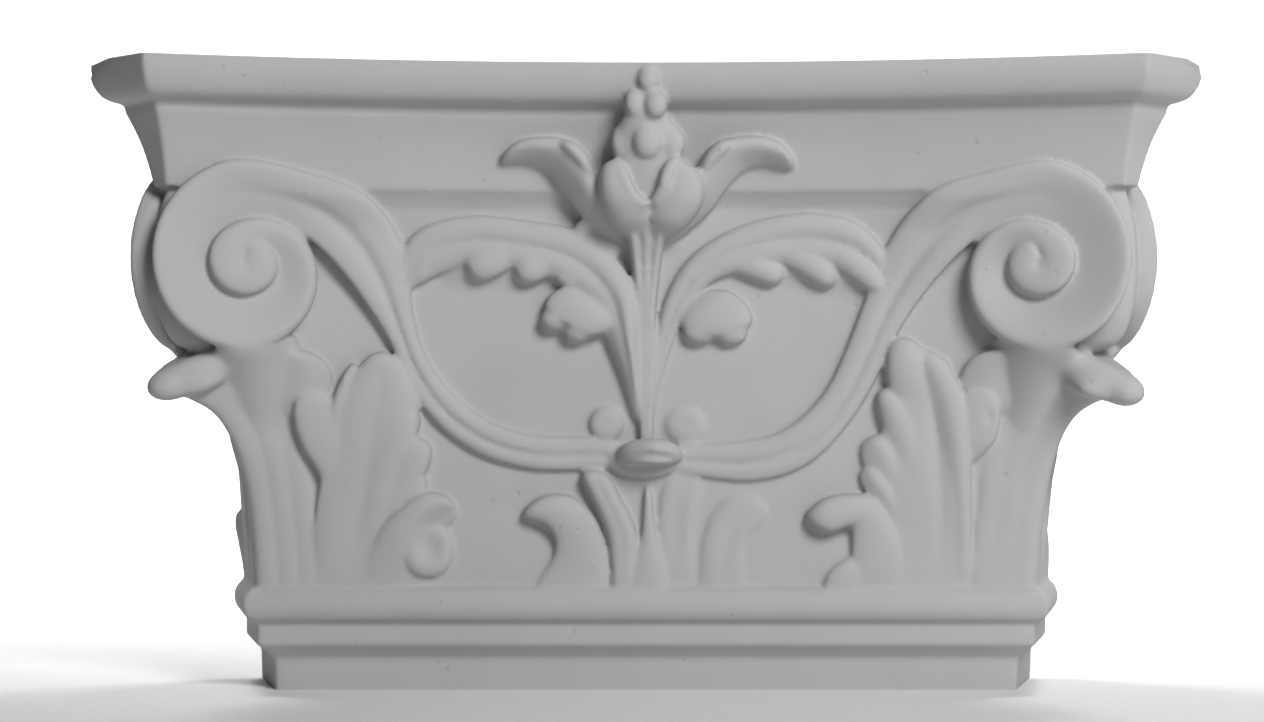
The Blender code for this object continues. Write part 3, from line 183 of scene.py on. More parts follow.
# The body: a stack of plans, from the foot to the top. A plan is z, the forward distance of the middle of
# the front, the half width over the corner's tips, the cut of the corner, the splay of the side, and how
# late the front turns forward on its way to the corner.


def square_plan(z, half):
    return (z, half - DIAGONAL, half, SQUARE_CUT, SIDE_SPLAY, 2)


def neck_plans():
    neck = BELL_WIDTH / 2 - NECK_INSET
    fillet = BELL_WIDTH / 2 + FILLET_PROJECTION
    cove = (fillet - neck) * 0.9
    plans = [square_plan(0.0, neck - FOOT_TAPER), square_plan(FILLET_Z - cove, neck)]
    for step in range(1, 5):
        turn = step / 4 * pi / 2
        plans.append(square_plan(FILLET_Z - cove * cos(turn), neck + cove * (1 - sin(pi / 2 - turn))))
    plans += [square_plan(FILLET_Z, fillet), square_plan(ASTRAGAL_Z - ASTRAGAL_GAP, fillet)]
    return plans


def astragal_plans():
    radius = ASTRAGAL_HEIGHT / 2
    plans = []
    for step in range(11):
        turn = -pi / 2 + pi * step / 10
        half = BELL_WIDTH / 2 + ASTRAGAL_PROJECTION * cos(turn)
        plans.append(square_plan(ASTRAGAL_Z + radius + radius * sin(turn), half))
    return plans


def bell_plans():
    foot = BELL_WIDTH / 2
    head = ABACUS_WIDTH / 2
    shares = (
        # height, face, half width from the foot's to the head's and cut, all as shares, and the late turn
        (0.00, 0.000, 0.00, 0.03, 4),
        (0.27, 0.000, 0.07, 0.04, 4),
        (0.43, 0.010, 0.21, 0.08, 4),
        (0.51, 0.020, 0.31, 0.15, 4),
        (0.59, 0.030, 0.38, 0.34, 4),
        (0.78, 0.045, 0.36, 0.50, 4),
        (0.90, 0.060, 0.41, 0.45, 3),
        (0.96, 0.066, 0.48, 0.35, 2.3),
        (0.98, 0.096, 0.52, 0.31, 2.1),
        (1.00, 0.140, 0.56, 0.27, 2),
    )
    return [
        (
            BELL_Z + height * BELL_HEIGHT,
            BELL_DEPTH * (1 + face),
            foot + (head - foot) * half,
            HORN_CUT * cut,
            SIDE_SPLAY * (1 - height),
            late,
        )
        for height, face, half, cut, late in shares
    ]


COVE_TOP = ABACUS_Z + ABACUS_HEIGHT * 0.59
OVOLO_FOOT = ABACUS_Z + ABACUS_HEIGHT * 0.66
OVOLO_HEAD = TOP_Z - EDGE


def abacus_plan(z, inset):
    half = ABACUS_WIDTH / 2 - inset
    return (z, ABACUS_FACE - inset, half, HORN_CUT - CUT_SHARE * inset, 0.0, 2)


def abacus_plans():
    """The cove, the fillet and the ovolo, from the abacus' foot up."""
    fillet_inset = OVOLO_PROJECTION + FILLET_STEP
    plans = []
    for step in range(9):
        rise = sin(pi / 2 * step / 8)
        inset = fillet_inset + COVE_PROJECTION * (1 - 0.6 * rise - 0.4 * rise**2.5)
        plans.append(abacus_plan(ABACUS_Z + (COVE_TOP - ABACUS_Z) * rise, inset))
    plans.append(abacus_plan(OVOLO_FOOT - 0.0008, fillet_inset - 0.0004))
    for step in range(11):
        drop = cos(pi / 2 * step / 10)
        inset = OVOLO_PROJECTION * (0.55 * drop**2 + 0.45 * drop**14)
        plans.append(abacus_plan(OVOLO_HEAD - (OVOLO_HEAD - OVOLO_FOOT) * drop, inset))
    plans.append(abacus_plan(TOP_Z, 0.0010))
    return plans


BELL = np.array(bell_plans())
ABACUS = np.array(abacus_plans())


def plan_front(face, half, cut, late, x):
    """Forward distance of a plan's front at x."""
    return face + (half - DIAGONAL - face) * np.clip(x / (half - cut), 0, 1) ** late


def front_between(plans, x, z):
    """Forward distance at x and z of the surface that a stack of plans makes, in metres."""
    face, half, cut, late = (np.interp(z, plans[:, 0], plans[:, column]) for column in (1, 2, 3, 5))
    return plan_front(face, half, cut, late, x) - np.maximum(x - half + cut, 0)


def bell_front(x, z):
    return front_between(BELL, x, z)


def volute_front(x, z):
    """Forward distance of the volute's plane, which lies just inside the horn."""
    return HORN_FRONT - VOLUTE_SETBACK - (HORN_X - x) * tan(VOLUTE_TURN)


def over(one, other):
    """The farther forward of two surfaces, with a soft valley where they meet."""
    return (one + other) / 2 + np.sqrt(((one - other) / 2) ** 2 + VALLEY**2)


def scroll_front(x, z):
    """The surface under the scroll: the bell, passing smoothly to the cove, or the volute's plane."""
    bell = bell_front(x, z)
    cove = front_between(ABACUS, x, np.maximum(z, ABACUS_Z)) - COVE_SINK
    climb = np.clip((z - ABACUS_Z + CLIMB_START) / CLIMB, 0, 1)
    return over(bell + (cove - bell) * climb**2 * (3 - 2 * climb), volute_front(x, z))


def abacus_front(x, z):
    """The plane of the middle of the abacus, in front of which the flower stands."""
    return ABACUS_FACE + 0 * x


def wall_front(x, z):
    return 0 * x


def plan_outline(plan, share):
    """x and forward distance at a share of the half outline, from mid front round to mid back."""
    z, face, half, cut, splay, late = plan
    corner, tip = half - cut, half - DIAGONAL - cut
    if share <= 0.45:
        x = corner * share / 0.45
        return x, plan_front(face, half, cut, late, x)
    if share <= 0.5:
        along = (share - 0.45) / 0.05
        return corner + cut * along, half - DIAGONAL - cut * along
    if share <= 0.75:
        forward = tip * (0.75 - share) / 0.25
        side = plan_front(face, half, cut, late, forward + DIAGONAL) + DIAGONAL
        return side + splay * (1 - forward / tip), forward
    side = plan_front(face, half, cut, late, DIAGONAL) + DIAGONAL + splay
    return side * (1 - (share - 0.75) / 0.25), 0.0


def new_ball(name, segments, rings):
    """A sphere of radius 1, and its points' share of the way up and angle around."""
    bpy.ops.mesh.primitive_uv_sphere_add(segments=segments, ring_count=rings)
    ball = bpy.context.object
    ball.name = name
    points = np.empty(len(ball.data.vertices) * 3)
    ball.data.vertices.foreach_get("co", points)
    points = points.reshape(-1, 3)
    up = np.arccos(np.clip(-points[:, 2], -1, 1)) / pi
    return ball, up, np.arctan2(points[:, 1], points[:, 0])


def set_points(thing, x, forward, z):
    points = np.stack([x, WALL_Y - forward, z], axis=1)
    thing.data.vertices.foreach_set("co", points.ravel())
    thing.data.update()
    return thing


def body():
    plans = neck_plans() + astragal_plans() + bell_plans()[1:] + abacus_plans()
    rings = len(plans) + 1
    ball, up, around = new_ball("body", 160 * FINENESS, rings)
    level = np.rint(up * rings).astype(int)
    share = np.abs(np.arctan2(np.sin(around), np.cos(around))) / pi
    x, forward, z = np.zeros(len(up)), np.zeros(len(up)), np.zeros(len(up))
    for index in range(len(up)):
        if level[index] in (0, rings):
            forward[index] = NECK_DEPTH / 2
            z[index] = 0.0 if level[index] == 0 else TOP_Z
            continue
        plan = plans[level[index] - 1]
        x[index], forward[index] = plan_outline(plan, share[index])
        z[index] = plan[0]
    x *= np.where(around < 0, -1, 1)
    forward = np.where(forward <= 1e-9, -BEHIND, forward)
    z = np.where(z <= 1e-9, -BEHIND, np.where(z >= TOP_Z - 1e-9, TOP_Z + BEHIND, z))
    return set_points(ball, x, forward, z)


# Carved forms: balls drawn out along a line or between two edges on the sheet, and laid on a surface.


def through(rows, share):
    """A smooth curve through the rows, read at shares of its length."""
    rows = np.array(rows, float)
    last = len(rows) - 1
    place = np.clip(share, 0, 1) * last
    index = np.minimum(place.astype(int), last - 1)
    u = (place - index)[:, None]
    before, start = rows[np.maximum(index - 1, 0)], rows[index]
    end, after = rows[index + 1], rows[np.minimum(index + 2, last)]
    bend = 2 * before - 5 * start + 4 * end - after
    twist = 3 * start - before - 3 * end + after
    return 0.5 * (2 * start + (end - before) * u + bend * u**2 + twist * u**3)


def on_capital(x, z):
    """From the sheet to the capital, in metres."""
    height = (z - SHEET_FOOT) / SHEET_BELL
    at_foot, at_head = BELL_WIDTH / SHEET_BELL_WIDTH, ABACUS_WIDTH / SHEET_WIDTH
    return x * (at_foot + (at_head - at_foot) * np.clip(height, 0, 1)), BELL_Z + height * BELL_HEIGHT


def round_ends(share, base, tip):
    start = np.clip(share / base, 0, 1)
    end = np.clip((1 - share) / tip, 0, 1)
    return np.sqrt((1 - (1 - start) ** 2) * (1 - (1 - end) ** 2))


# Sections: the height across a form, from one edge at -1 to the other at 1, as a share of its full height.


def domed(across, share):
    return 1.0 + 0 * across


def flutes(count, depth, fade=2.0):
    """Rounded ribs with a crease between them, which die out past the share fade."""
    def section(across, share):
        rib = np.abs(np.sin(pi * count * (across + 1) / 2)) ** 0.7
        return 1 - depth * (1 - rib) * np.clip((fade - share) / 0.15, 0, 1)
    return section


def cupped(depth, place=0.0, width=0.45, length=0.2):
    """A dome with a hollow pressed into it."""
    def section(across, share):
        return 1 - depth * np.exp(-(((across - place) / width) ** 2) - ((share - 0.55) / length) ** 2)
    return section


def one_sided(low, side=1):
    """High along one edge, falling to the share low at the other."""
    def section(across, share):
        slope = np.clip((across * side + 1) / 1.5, 0, 1)
        return low + (1 - low) * slope * slope * (3 - 2 * slope)
    return section


def lay(ball, up, around, x, z, ground, lift, height, section, ends, rim, under, inward):
    """Lays a drawn form on a surface: its front stands proud by its height, its back sinks in."""
    across, out = np.cos(around), np.sin(around)
    x, z = on_capital(x, z)
    front = ground(np.abs(x), z)
    round_over = np.abs(out) ** rim * ends
    proud = (lift + height * section(across, up) * round_over) * MM
    if under is None:
        back = -SINK * np.abs(out) ** 0.5 + 0 * front
    else:
        back = (lift - under * np.abs(out) ** 0.8 * ends) * MM
    x = x - np.where(out < 0, inward * MM * np.abs(out) ** 0.8 * ends, 0)
    return set_points(ball, x, front + np.where(out >= 0, proud, back), z)


def carve(name, rows, ground=None, section=domed, base=0.04, tip=0.12, rim=0.8, under=None, fine=(16, 24)):
    """A form along a line: rows of x, z, lift, half width and height, in millimetres on the sheet."""
    ball, up, around = new_ball(name, fine[0] * FINENESS, fine[1] * FINENESS)
    reach = 1e-3
    x, z, lift, width, height = through(rows, up).T
    ahead, behind = through(rows, up + reach), through(rows, up - reach)
    run, climb = (ahead - behind)[:, 0], (ahead - behind)[:, 1]
    length = np.maximum(np.hypot(run, climb), 1e-9)
    ends = round_ends(up, base, tip)
    side = np.cos(around) * width * ends
    x, z = x - climb / length * side, z + run / length * side
    return lay(ball, up, around, x, z, ground or bell_front, lift, height, section, ends, rim, under, 0.0)


def leaf(name, rows, ground=None, section=domed, base=0.04, tip=0.14, rim=0.5, under=None, inward=0.0,
         fine=(40, 26)):
    """A form between two edges: rows of x, z and lift of one edge, the same of the other, then height."""
    ball, up, around = new_ball(name, fine[0] * FINENESS, fine[1] * FINENESS)
    one_x, one_z, one_lift, two_x, two_z, two_lift, height = through(rows, up).T
    ends = round_ends(up, base, tip)
    place = (1 + np.cos(around) * ends) / 2
    x = one_x + (two_x - one_x) * place
    z = one_z + (two_z - one_z) * place
    lift = one_lift + (two_lift - one_lift) * place
    return lay(ball, up, around, x, z, ground or bell_front, lift, height, section, ends, rim, under, inward)


def flat_leaf(name, rows, **settings):
    """A leaf with one lift for both edges: rows of x, z, x, z, lift and height."""
    return leaf(name, [(a, b, lift, c, d, lift, height) for a, b, c, d, lift, height in rows], **settings)


def pad(name, x, z, half_width, half_height, lift, height, ground=None, lean=0.0, under=None, section=domed,
        rim=0.8):
    """An oval boss at x and z, in millimetres on the sheet."""
    rows = [
        (x + half_height * sin(lean) * step, z + half_height * cos(lean) * step, lift, half_width, height)
        for step in (-1, -0.5, 0, 0.5, 1)
    ]
    return carve(name, rows, ground, section, base=0.5, tip=0.5, rim=rim, under=under, fine=(20, 16))


def finish_side(thing, side):
    """Gives a form made on the right its place on the left, with its faces still outwards."""
    if side < 0:
        for vertex in thing.data.vertices:
            vertex.co.x = -vertex.co.x
        thing.data.flip_normals()
    return thing


def reflect_round_corner(thing):
    """A copy of a form on the front's right half, on the side face round the corner."""
    copy = thing.copy()
    copy.data = thing.data.copy()
    bpy.context.collection.objects.link(copy)
    for vertex in copy.data.vertices:
        x, forward, z = vertex.co.x, WALL_Y - vertex.co.y, vertex.co.z
        half = np.interp(z, BELL[:, 0], BELL[:, 2])
        splay = np.interp(z, BELL[:, 0], BELL[:, 4])
        spread = splay * (1 - (x - DIAGONAL) / (half - DIAGONAL))
        vertex.co.x = forward + DIAGONAL + max(spread, 0)
        vertex.co.y = WALL_Y - (x - DIAGONAL)
    copy.data.flip_normals()
    return copy


# The volute: the scroll's band runs up from the middle of the bell and rolls up under the horn.
# Its outer radius after each quarter turn from the top is a share of the volute's height.
QUARTER_RADII = (0.533, 0.462, 0.463, 0.345, 0.222, 0.186, 0.176, 0.155, 0.12, 0.08, 0.04, 0, 0)
LEFT_VOLUTE = (150.8, 165.2)
RIGHT_VOLUTE = (148, 164.8)
BAND_QUARTERS = 8
SCROLL_HEIGHT = 7             # of the rolled band over the volute's plane, on the sheet


def radius_at(quarters):
    return float(through([[radius] for radius in QUARTER_RADII], np.array([quarters / 12]))[0, 0])


def volute_rows(centre):
    """The band's inner edge and outer edge, then its lift and height."""
    rows = []
    height = VOLUTE_HEIGHT / MM
    for step in range(BAND_QUARTERS * 4 + 1):
        quarters = step / 4
        outer, inner = radius_at(quarters) * height, radius_at(quarters + 4) * height
        inner *= np.clip((4.6 - quarters) / 1.2, 0, 1)
        turn = pi / 2 - quarters * pi / 2
        across, along = cos(turn), sin(turn)
        x, z = centre
        edges = (x + inner * across, z + inner * along, x + outer * across, z + outer * along)
        rows.append((*edges, 0, SCROLL_HEIGHT))
    return rows


def scroll(stalk, centre):
    rows = stalk + volute_rows(centre)

    def section(across, share):
        quarter = (share * (len(rows) - 1) - len(stalk)) / 4
        ribbon = 1 - 0.34 * np.exp(-(((across + 0.1) / 0.2) ** 2)) - 0.12 * np.clip(-across, 0, 1)
        fall = 0.1 + 0.88 * np.clip((quarter - 2.7) / 1.3, 0, 1)
        coil = fall + (1 - fall) * np.clip((across + 1) / 1.8, 0, 1) ** 1.25
        mix = np.clip((quarter + 1) / 1.5, 0, 1)
        mix = mix * mix * (3 - 2 * mix)
        return (1 - mix) * ribbon + mix * coil

    return flat_leaf("scroll", rows, ground=scroll_front, section=section, base=0.01, tip=0.03, rim=0.35,
                     under=VOLUTE_THICKNESS / MM - SCROLL_HEIGHT, fine=(32, 200))


def volute(stalk, centre):
    """The scroll and the round back of its coil."""
    x, z = centre
    return [
        scroll(stalk, centre),
        pad("volute back", x + 1.5, z - 1, 25, 31, -2, 2, volute_front, under=22),
    ]


def left_volute():
    return volute([
        (10, 86.5, 10, 97, 0, 3), (22, 86, 22, 98.5, 0, 3.6), (36, 85.5, 36, 98.5, 0, 4.2),
        (50, 87.2, 48, 100, 0, 4.6), (65, 92.2, 59.5, 104, 0, 4.8), (78, 101, 69.8, 110.8, 0, 4.8),
        (87.5, 112, 78.6, 119.8, 0, 4.8), (94, 124.5, 85.6, 131, 0, 5), (99.5, 136.5, 89.6, 144.5, 0, 5.2),
        (106, 147.5, 91.4, 158.5, 0, 5.6), (114, 159, 93.5, 171, 0, 6), (122.5, 169, 99, 182.5, 0, 6.4),
        (131.5, 176.5, 110, 193, 0, 6.8), (141, 180.8, 127.5, 199, 0, 7),
    ], LEFT_VOLUTE)


def right_volute():
    return volute([
        (10, 85, 10, 96.5, 0, 3), (23, 83, 23, 96, 0, 3.6), (38, 81.5, 37, 97, 0, 4.2),
        (52, 83.5, 50, 99.8, 0, 4.6), (65, 89.8, 61, 107, 0, 4.8), (76, 101, 69.6, 117, 0, 4.8),
        (85, 114, 75.2, 128, 0, 4.8), (91, 126, 80, 140, 0, 5), (96, 137, 84.4, 152, 0, 5.2),
        (103, 148.5, 88.5, 163.5, 0, 5.6), (111, 159, 93.5, 174, 0, 6), (119.5, 168.5, 100.5, 184.5, 0, 6.4),
        (129, 176.5, 111.5, 194, 0, 6.8), (138.5, 180.6, 125.5, 198.6, 0, 7),
    ], RIGHT_VOLUTE)


def on_diagonal(name, fine, middle, length, width, height, girth_power=1, slope=0):
    """A round form on the corner's diagonal: its middle's x and z, and half sizes along and across it."""
    ball, up, around = new_ball(name, fine[0] * FINENESS, fine[1] * FINENESS)
    level, girth = -np.cos(up * pi), np.sin(up * pi) ** girth_power
    along, aside = girth * np.cos(around), girth * np.sin(around)
    x, z = middle
    x, z = on_capital(x + (along * length + aside * width) / 2**0.5, z + level * height - along * slope)
    forward = x - DIAGONAL - aside * 2**0.5 * width * MM
    return set_points(ball, x, forward, z)


def corner_drum():
    """The round core between the front's volute and the side's."""
    return on_diagonal("corner drum", (32, 24), (164, 165), 28, 10, 33.5, girth_power=0.4)


# Leaves. A row of a leaf is its two edges' x and z, its lift and its height; a row of a rib is x, z, lift,
# half width and height.


def corner_leaf(folds):
    """The acanthus round a corner of the bell, turned outwards at its top. Its lifts are from the wall."""
    return leaf("corner leaf", [
        (150.2, 36, 52.2, 125.5, 36, 52, 1.8), (151.2, 58, 53.2, 127.5, 58, 52.5, 2),
        (153.4, 78, 55.4, 129.5, 78, 53.5, 2.2), (156.6, 92, 58.6, 130.5, 92, 54.5, 2.2),
        (160.6, 102, 62.6, 131.5, 102, 55, 2), (166, 108.5, 68, 132.5, 110, 55.5, 1.6),
        (173, 112.6, 75, 134, 117, 56.5, 1.2), (179, 115.5, 80, 136, 123, 59, 1),
        (182, 119, 83, 138, 128, 62, 0.8), (181, 123, 82, 140, 132, 62, 0.8),
        (176, 127.5, 77, 141, 135, 60, 0.6), (168, 130.5, 69, 142, 137, 57, 0.6)],
        ground=wall_front, section=flutes(3, folds, 0.62), base=0.02, tip=0.04, rim=0.3, under=12,
        inward=11, fine=(56, 70))


def corner_lip(droop):
    """The overturned edge of the corner leaf, from its drooping tip on the diagonal in under the volute."""
    return carve("corner lip", [
        (185, 118.8 - droop, 84, 4.2, 4), (180, 119.8 - droop, 82, 5.6, 5.6),
        (172, 122.6 - 0.7 * droop, 78.5, 6.4, 7.4), (163, 127 - 0.3 * droop, 73, 5.8, 7.6),
        (154, 131, 67.5, 5, 7), (146, 132.6, 62.5, 4.4, 6),
        (139, 131, 58, 3.2, 4.4)], wall_front, base=0.1, tip=0.25, rim=0.75, under=18, fine=(28, 40))


def corner_tip(droop):
    """The overturned tip of the corner leaf, under the volutes."""
    return on_diagonal("corner tip", (24, 16), (179.3, 119 - droop), 9.6, 7.6, 6.4, slope=1.2)


def corner_shoulder():
    """The corner leaf's side lobe and its neck, under the volute."""
    return [
        flat_leaf("corner shoulder", [
            (146, 104, 124, 109, -0.6, 2.4), (148, 110, 121.8, 113, 0, 3.6),
            (149, 116.5, 120.6, 118, 0.6, 4.4), (150, 123.5, 121.4, 124, 1.2, 5),
            (150, 129.5, 125, 129, 1.8, 5.4), (150, 135, 131, 133, 2.4, 5)],
            section=one_sided(0.3), base=0.35, tip=0.2, rim=0.6, fine=(40, 40)),
        carve("corner neck", [
            (147, 90, -4, 8, 3), (147, 99, -3.2, 9, 3.8), (147, 108, -2.4, 10.5, 5),
            (147.5, 116.5, -1.2, 12.5, 6.8), (148, 124.5, 0.4, 14.5, 9), (149, 131, 2.2, 16, 11.2),
            (150, 136.5, 4, 17, 12.5)], base=0.2, tip=0.12, rim=1.7, under=14, fine=(32, 40)),
    ]


def left_side_lobe():
    return flat_leaf("side lobe", [
        (127.5, 38, 117, 38, 0.2, 1.4), (128.4, 60, 117, 60, 0.3, 2), (127.2, 74, 117, 74, 0.6, 3),
        (126.2, 84, 115, 86, 1, 4.4), (131.6, 93.5, 115.5, 97, 1.4, 5.2), (134.6, 102, 117, 106, 1.6, 5.4),
        (135.2, 110, 120, 112, 1.6, 5.2), (132, 117.5, 124, 117.5, 1.6, 4.4)],
        tip=0.12, rim=0.3)


def right_side_lobe():
    return flat_leaf("side lobe", [
        (121, 86, 129.5, 90, 0.5, 2.2), (120, 95, 134, 97, 1.2, 4), (119.5, 104, 136, 105, 1.6, 4.6),
        (120.5, 113, 135, 113, 1.6, 4.4), (123, 121, 132, 121, 1.4, 4)],
        section=cupped(0.3, 0.5, 0.2, 0.08), base=0.25, tip=0.25, rim=0.4)


def left_front_leaf():
    return [
        flat_leaf("leaf body", [
            (128, 38, 99, 38, 0, 1.8), (128, 58, 98, 58, 0, 3.2), (126, 76, 93.5, 74, 0.4, 4.6),
            (123, 94, 90.5, 90, 0.8, 6), (120.5, 108, 88.5, 104, 1.2, 6.8), (116, 119, 88.2, 113, 1.6, 6.8),
            (108, 128.5, 92.5, 124, 1.8, 6.2), (102.5, 132.2, 98, 131, 1.8, 4.8)],
            section=flutes(2, 0.12, 0.9), base=0.02, tip=0.1, rim=0.4, fine=(56, 50)),
        carve("leaf outer fold", [
            (121, 92, 1, 2, 4), (120.2, 102, 1.8, 2.6, 4.8), (118.2, 112, 2.4, 2.8, 5.2),
            (115, 121.5, 2.6, 2, 4.8), (111.8, 127, 2.4, 1.2, 4)]),
        carve("leaf finger a", [
            (106, 48, 0.2, 4.4, 2), (105, 66, 0.6, 6, 3.8), (100.5, 87, 1.2, 7, 5.8),
            (95.5, 100, 1.6, 7, 6.6), (90.6, 110, 1.6, 4.8, 6)], tip=0.12, rim=0.5),
        carve("leaf finger b", [
            (102, 52, 0.2, 4, 2), (99.5, 66, 0.4, 5.4, 3.6), (95, 80, 0.8, 6.2, 5), (90.2, 91, 1.2, 7, 5.8),
            (87.2, 98.5, 1.2, 5.2, 5.4)], tip=0.16, rim=0.5),
        carve("leaf finger c", [
            (101, 58, 0.2, 3, 2.4), (96.5, 69, 0.4, 4.4, 3.4), (91, 78, 0.8, 5, 4.4),
            (87, 85, 0.8, 3.6, 4)], tip=0.2, rim=0.5),
        flat_leaf("leaf curl", [
            (112, 38, 81, 38, 0, 1.6), (110, 46, 78.5, 46, 0, 3), (106.5, 55, 76.5, 54, 0.2, 5),
            (102, 64, 78.5, 61, 0.6, 7), (94.5, 71.5, 79, 63.5, 1, 7.4), (86, 77.2, 76.4, 65, 1.4, 6.8),
            (78, 76.2, 74, 68, 1.4, 5.6), (75, 73.4, 73.2, 70.6, 1.2, 4)],
            section=one_sided(0.2, -1), base=0.03, tip=0.1, rim=0.35, fine=(48, 44)),
        pad("leaf curl ball", 85, 55, 10.4, 11, 0.4, 6,
            section=cupped(0.65, 0.15, 0.6, 0.3), rim=0.8),
        left_side_lobe(),
    ]


def right_front_leaf():
    return [
        flat_leaf("leaf body", [
            (126, 38, 88, 38, 0, 1.8), (125.5, 58, 91, 58, 0, 2.8), (123.8, 76, 94, 72, 0.4, 4.2),
            (123, 94, 91, 88, 0.8, 5.2), (122.5, 108, 91, 104, 1, 5.6), (119, 121, 93, 116, 1.4, 5.4),
            (112, 129, 94, 128, 1.6, 5), (104, 135.5, 96.5, 135.5, 1.6, 4)],
            section=cupped(0.4, -0.36, 0.2, 0.5), base=0.02, tip=0.1, rim=0.35, fine=(56, 40)),
        carve("leaf right part", [
            (121, 42, 0, 4.6, 2), (120.4, 66, 0.4, 5.6, 3.8), (117.8, 88, 1, 7.6, 5.6),
            (114.4, 106, 1.8, 9.2, 6.4), (109.6, 120, 2.4, 9, 6.2), (104, 130, 2.6, 6, 5.2)],
            section=one_sided(0.15, -1), tip=0.1, rim=0.45, fine=(28, 40)),
        carve("leaf top lobe", [
            (103, 108, 1, 3.4, 3), (100.5, 118, 2.6, 7, 5.4), (99.4, 128, 3.4, 7, 6.2),
            (99, 137.2, 2.8, 4.6, 5.2)], base=0.3, tip=0.2, rim=0.6),
        carve("leaf finger a", [
            (110.4, 44, 0, 5, 1.6), (108.4, 66, 0.2, 6.2, 3.4), (104.2, 86, 0.6, 7.4, 5.2),
            (99.6, 100, 1.2, 7.6, 6.2), (95, 110, 1.6, 6, 6), (90.8, 117, 1.6, 3.6, 5)],
            tip=0.12, rim=0.9, fine=(28, 40)),
        carve("leaf finger b", [
            (103.2, 46, 0, 4.6, 1.4), (100.6, 64, 0.2, 6.4, 3), (96.2, 79, 0.4, 7.4, 4.6),
            (91, 90, 1, 7.4, 5.8), (86.2, 98.5, 1.2, 5.8, 5.6)],
            section=one_sided(0.6, -1), tip=0.18, rim=0.7, fine=(28, 40)),
        carve("leaf finger c", [
            (99.6, 56, 0.2, 3.2, 2), (95.4, 69, 0.6, 4.2, 3.4), (89.6, 78.5, 1.2, 4.8, 4.8),
            (84.2, 86.6, 1.2, 3.6, 4.6)], section=one_sided(0.5, -1), tip=0.2, rim=0.45, fine=(28, 32)),
        carve("leaf second tip", [
            (112, 116, 2.4, 4.4, 4.4), (113.6, 124.5, 2.6, 3.8, 4.4), (113.6, 129.2, 2.2, 2, 3.6)],
            base=0.3, tip=0.4),
        flat_leaf("leaf curl body", [
            (101, 38, 78.5, 38, 0, 2), (100, 48, 79.2, 48, 0.2, 3.4), (98, 58, 79.5, 57, 0.6, 4.6),
            (93, 68.5, 79, 64, 1.2, 5.6), (86, 75.6, 76, 63.4, 2, 6.4), (77, 76.6, 71, 62, 2.6, 7),
            (68.5, 74.6, 66, 63.6, 2.8, 6.6), (61.6, 69.6, 61.2, 66.6, 2.2, 4.6)],
            base=0.04, tip=0.12, rim=0.5),
        flat_leaf("leaf curl foot", [
            (88, 52, 84, 38, 0, 2.6), (79, 52, 76, 38, 0.2, 3.8), (72.5, 48, 70.5, 38, 0.2, 3.4),
            (69, 44, 68.4, 38, 0.2, 2.4)], base=0.2, tip=0.3),
        right_side_lobe(),
    ]


def half_leaf_fold(across, share):
    """Two folds, and low on the stalk a long slope down to the left."""
    slope = np.clip((0.42 - share) / 0.15, 0, 1) * np.clip(0.3 - across, 0, 1.3) / 1.3
    return flutes(2, 0.28)(across, share) * (1 - 0.75 * slope)


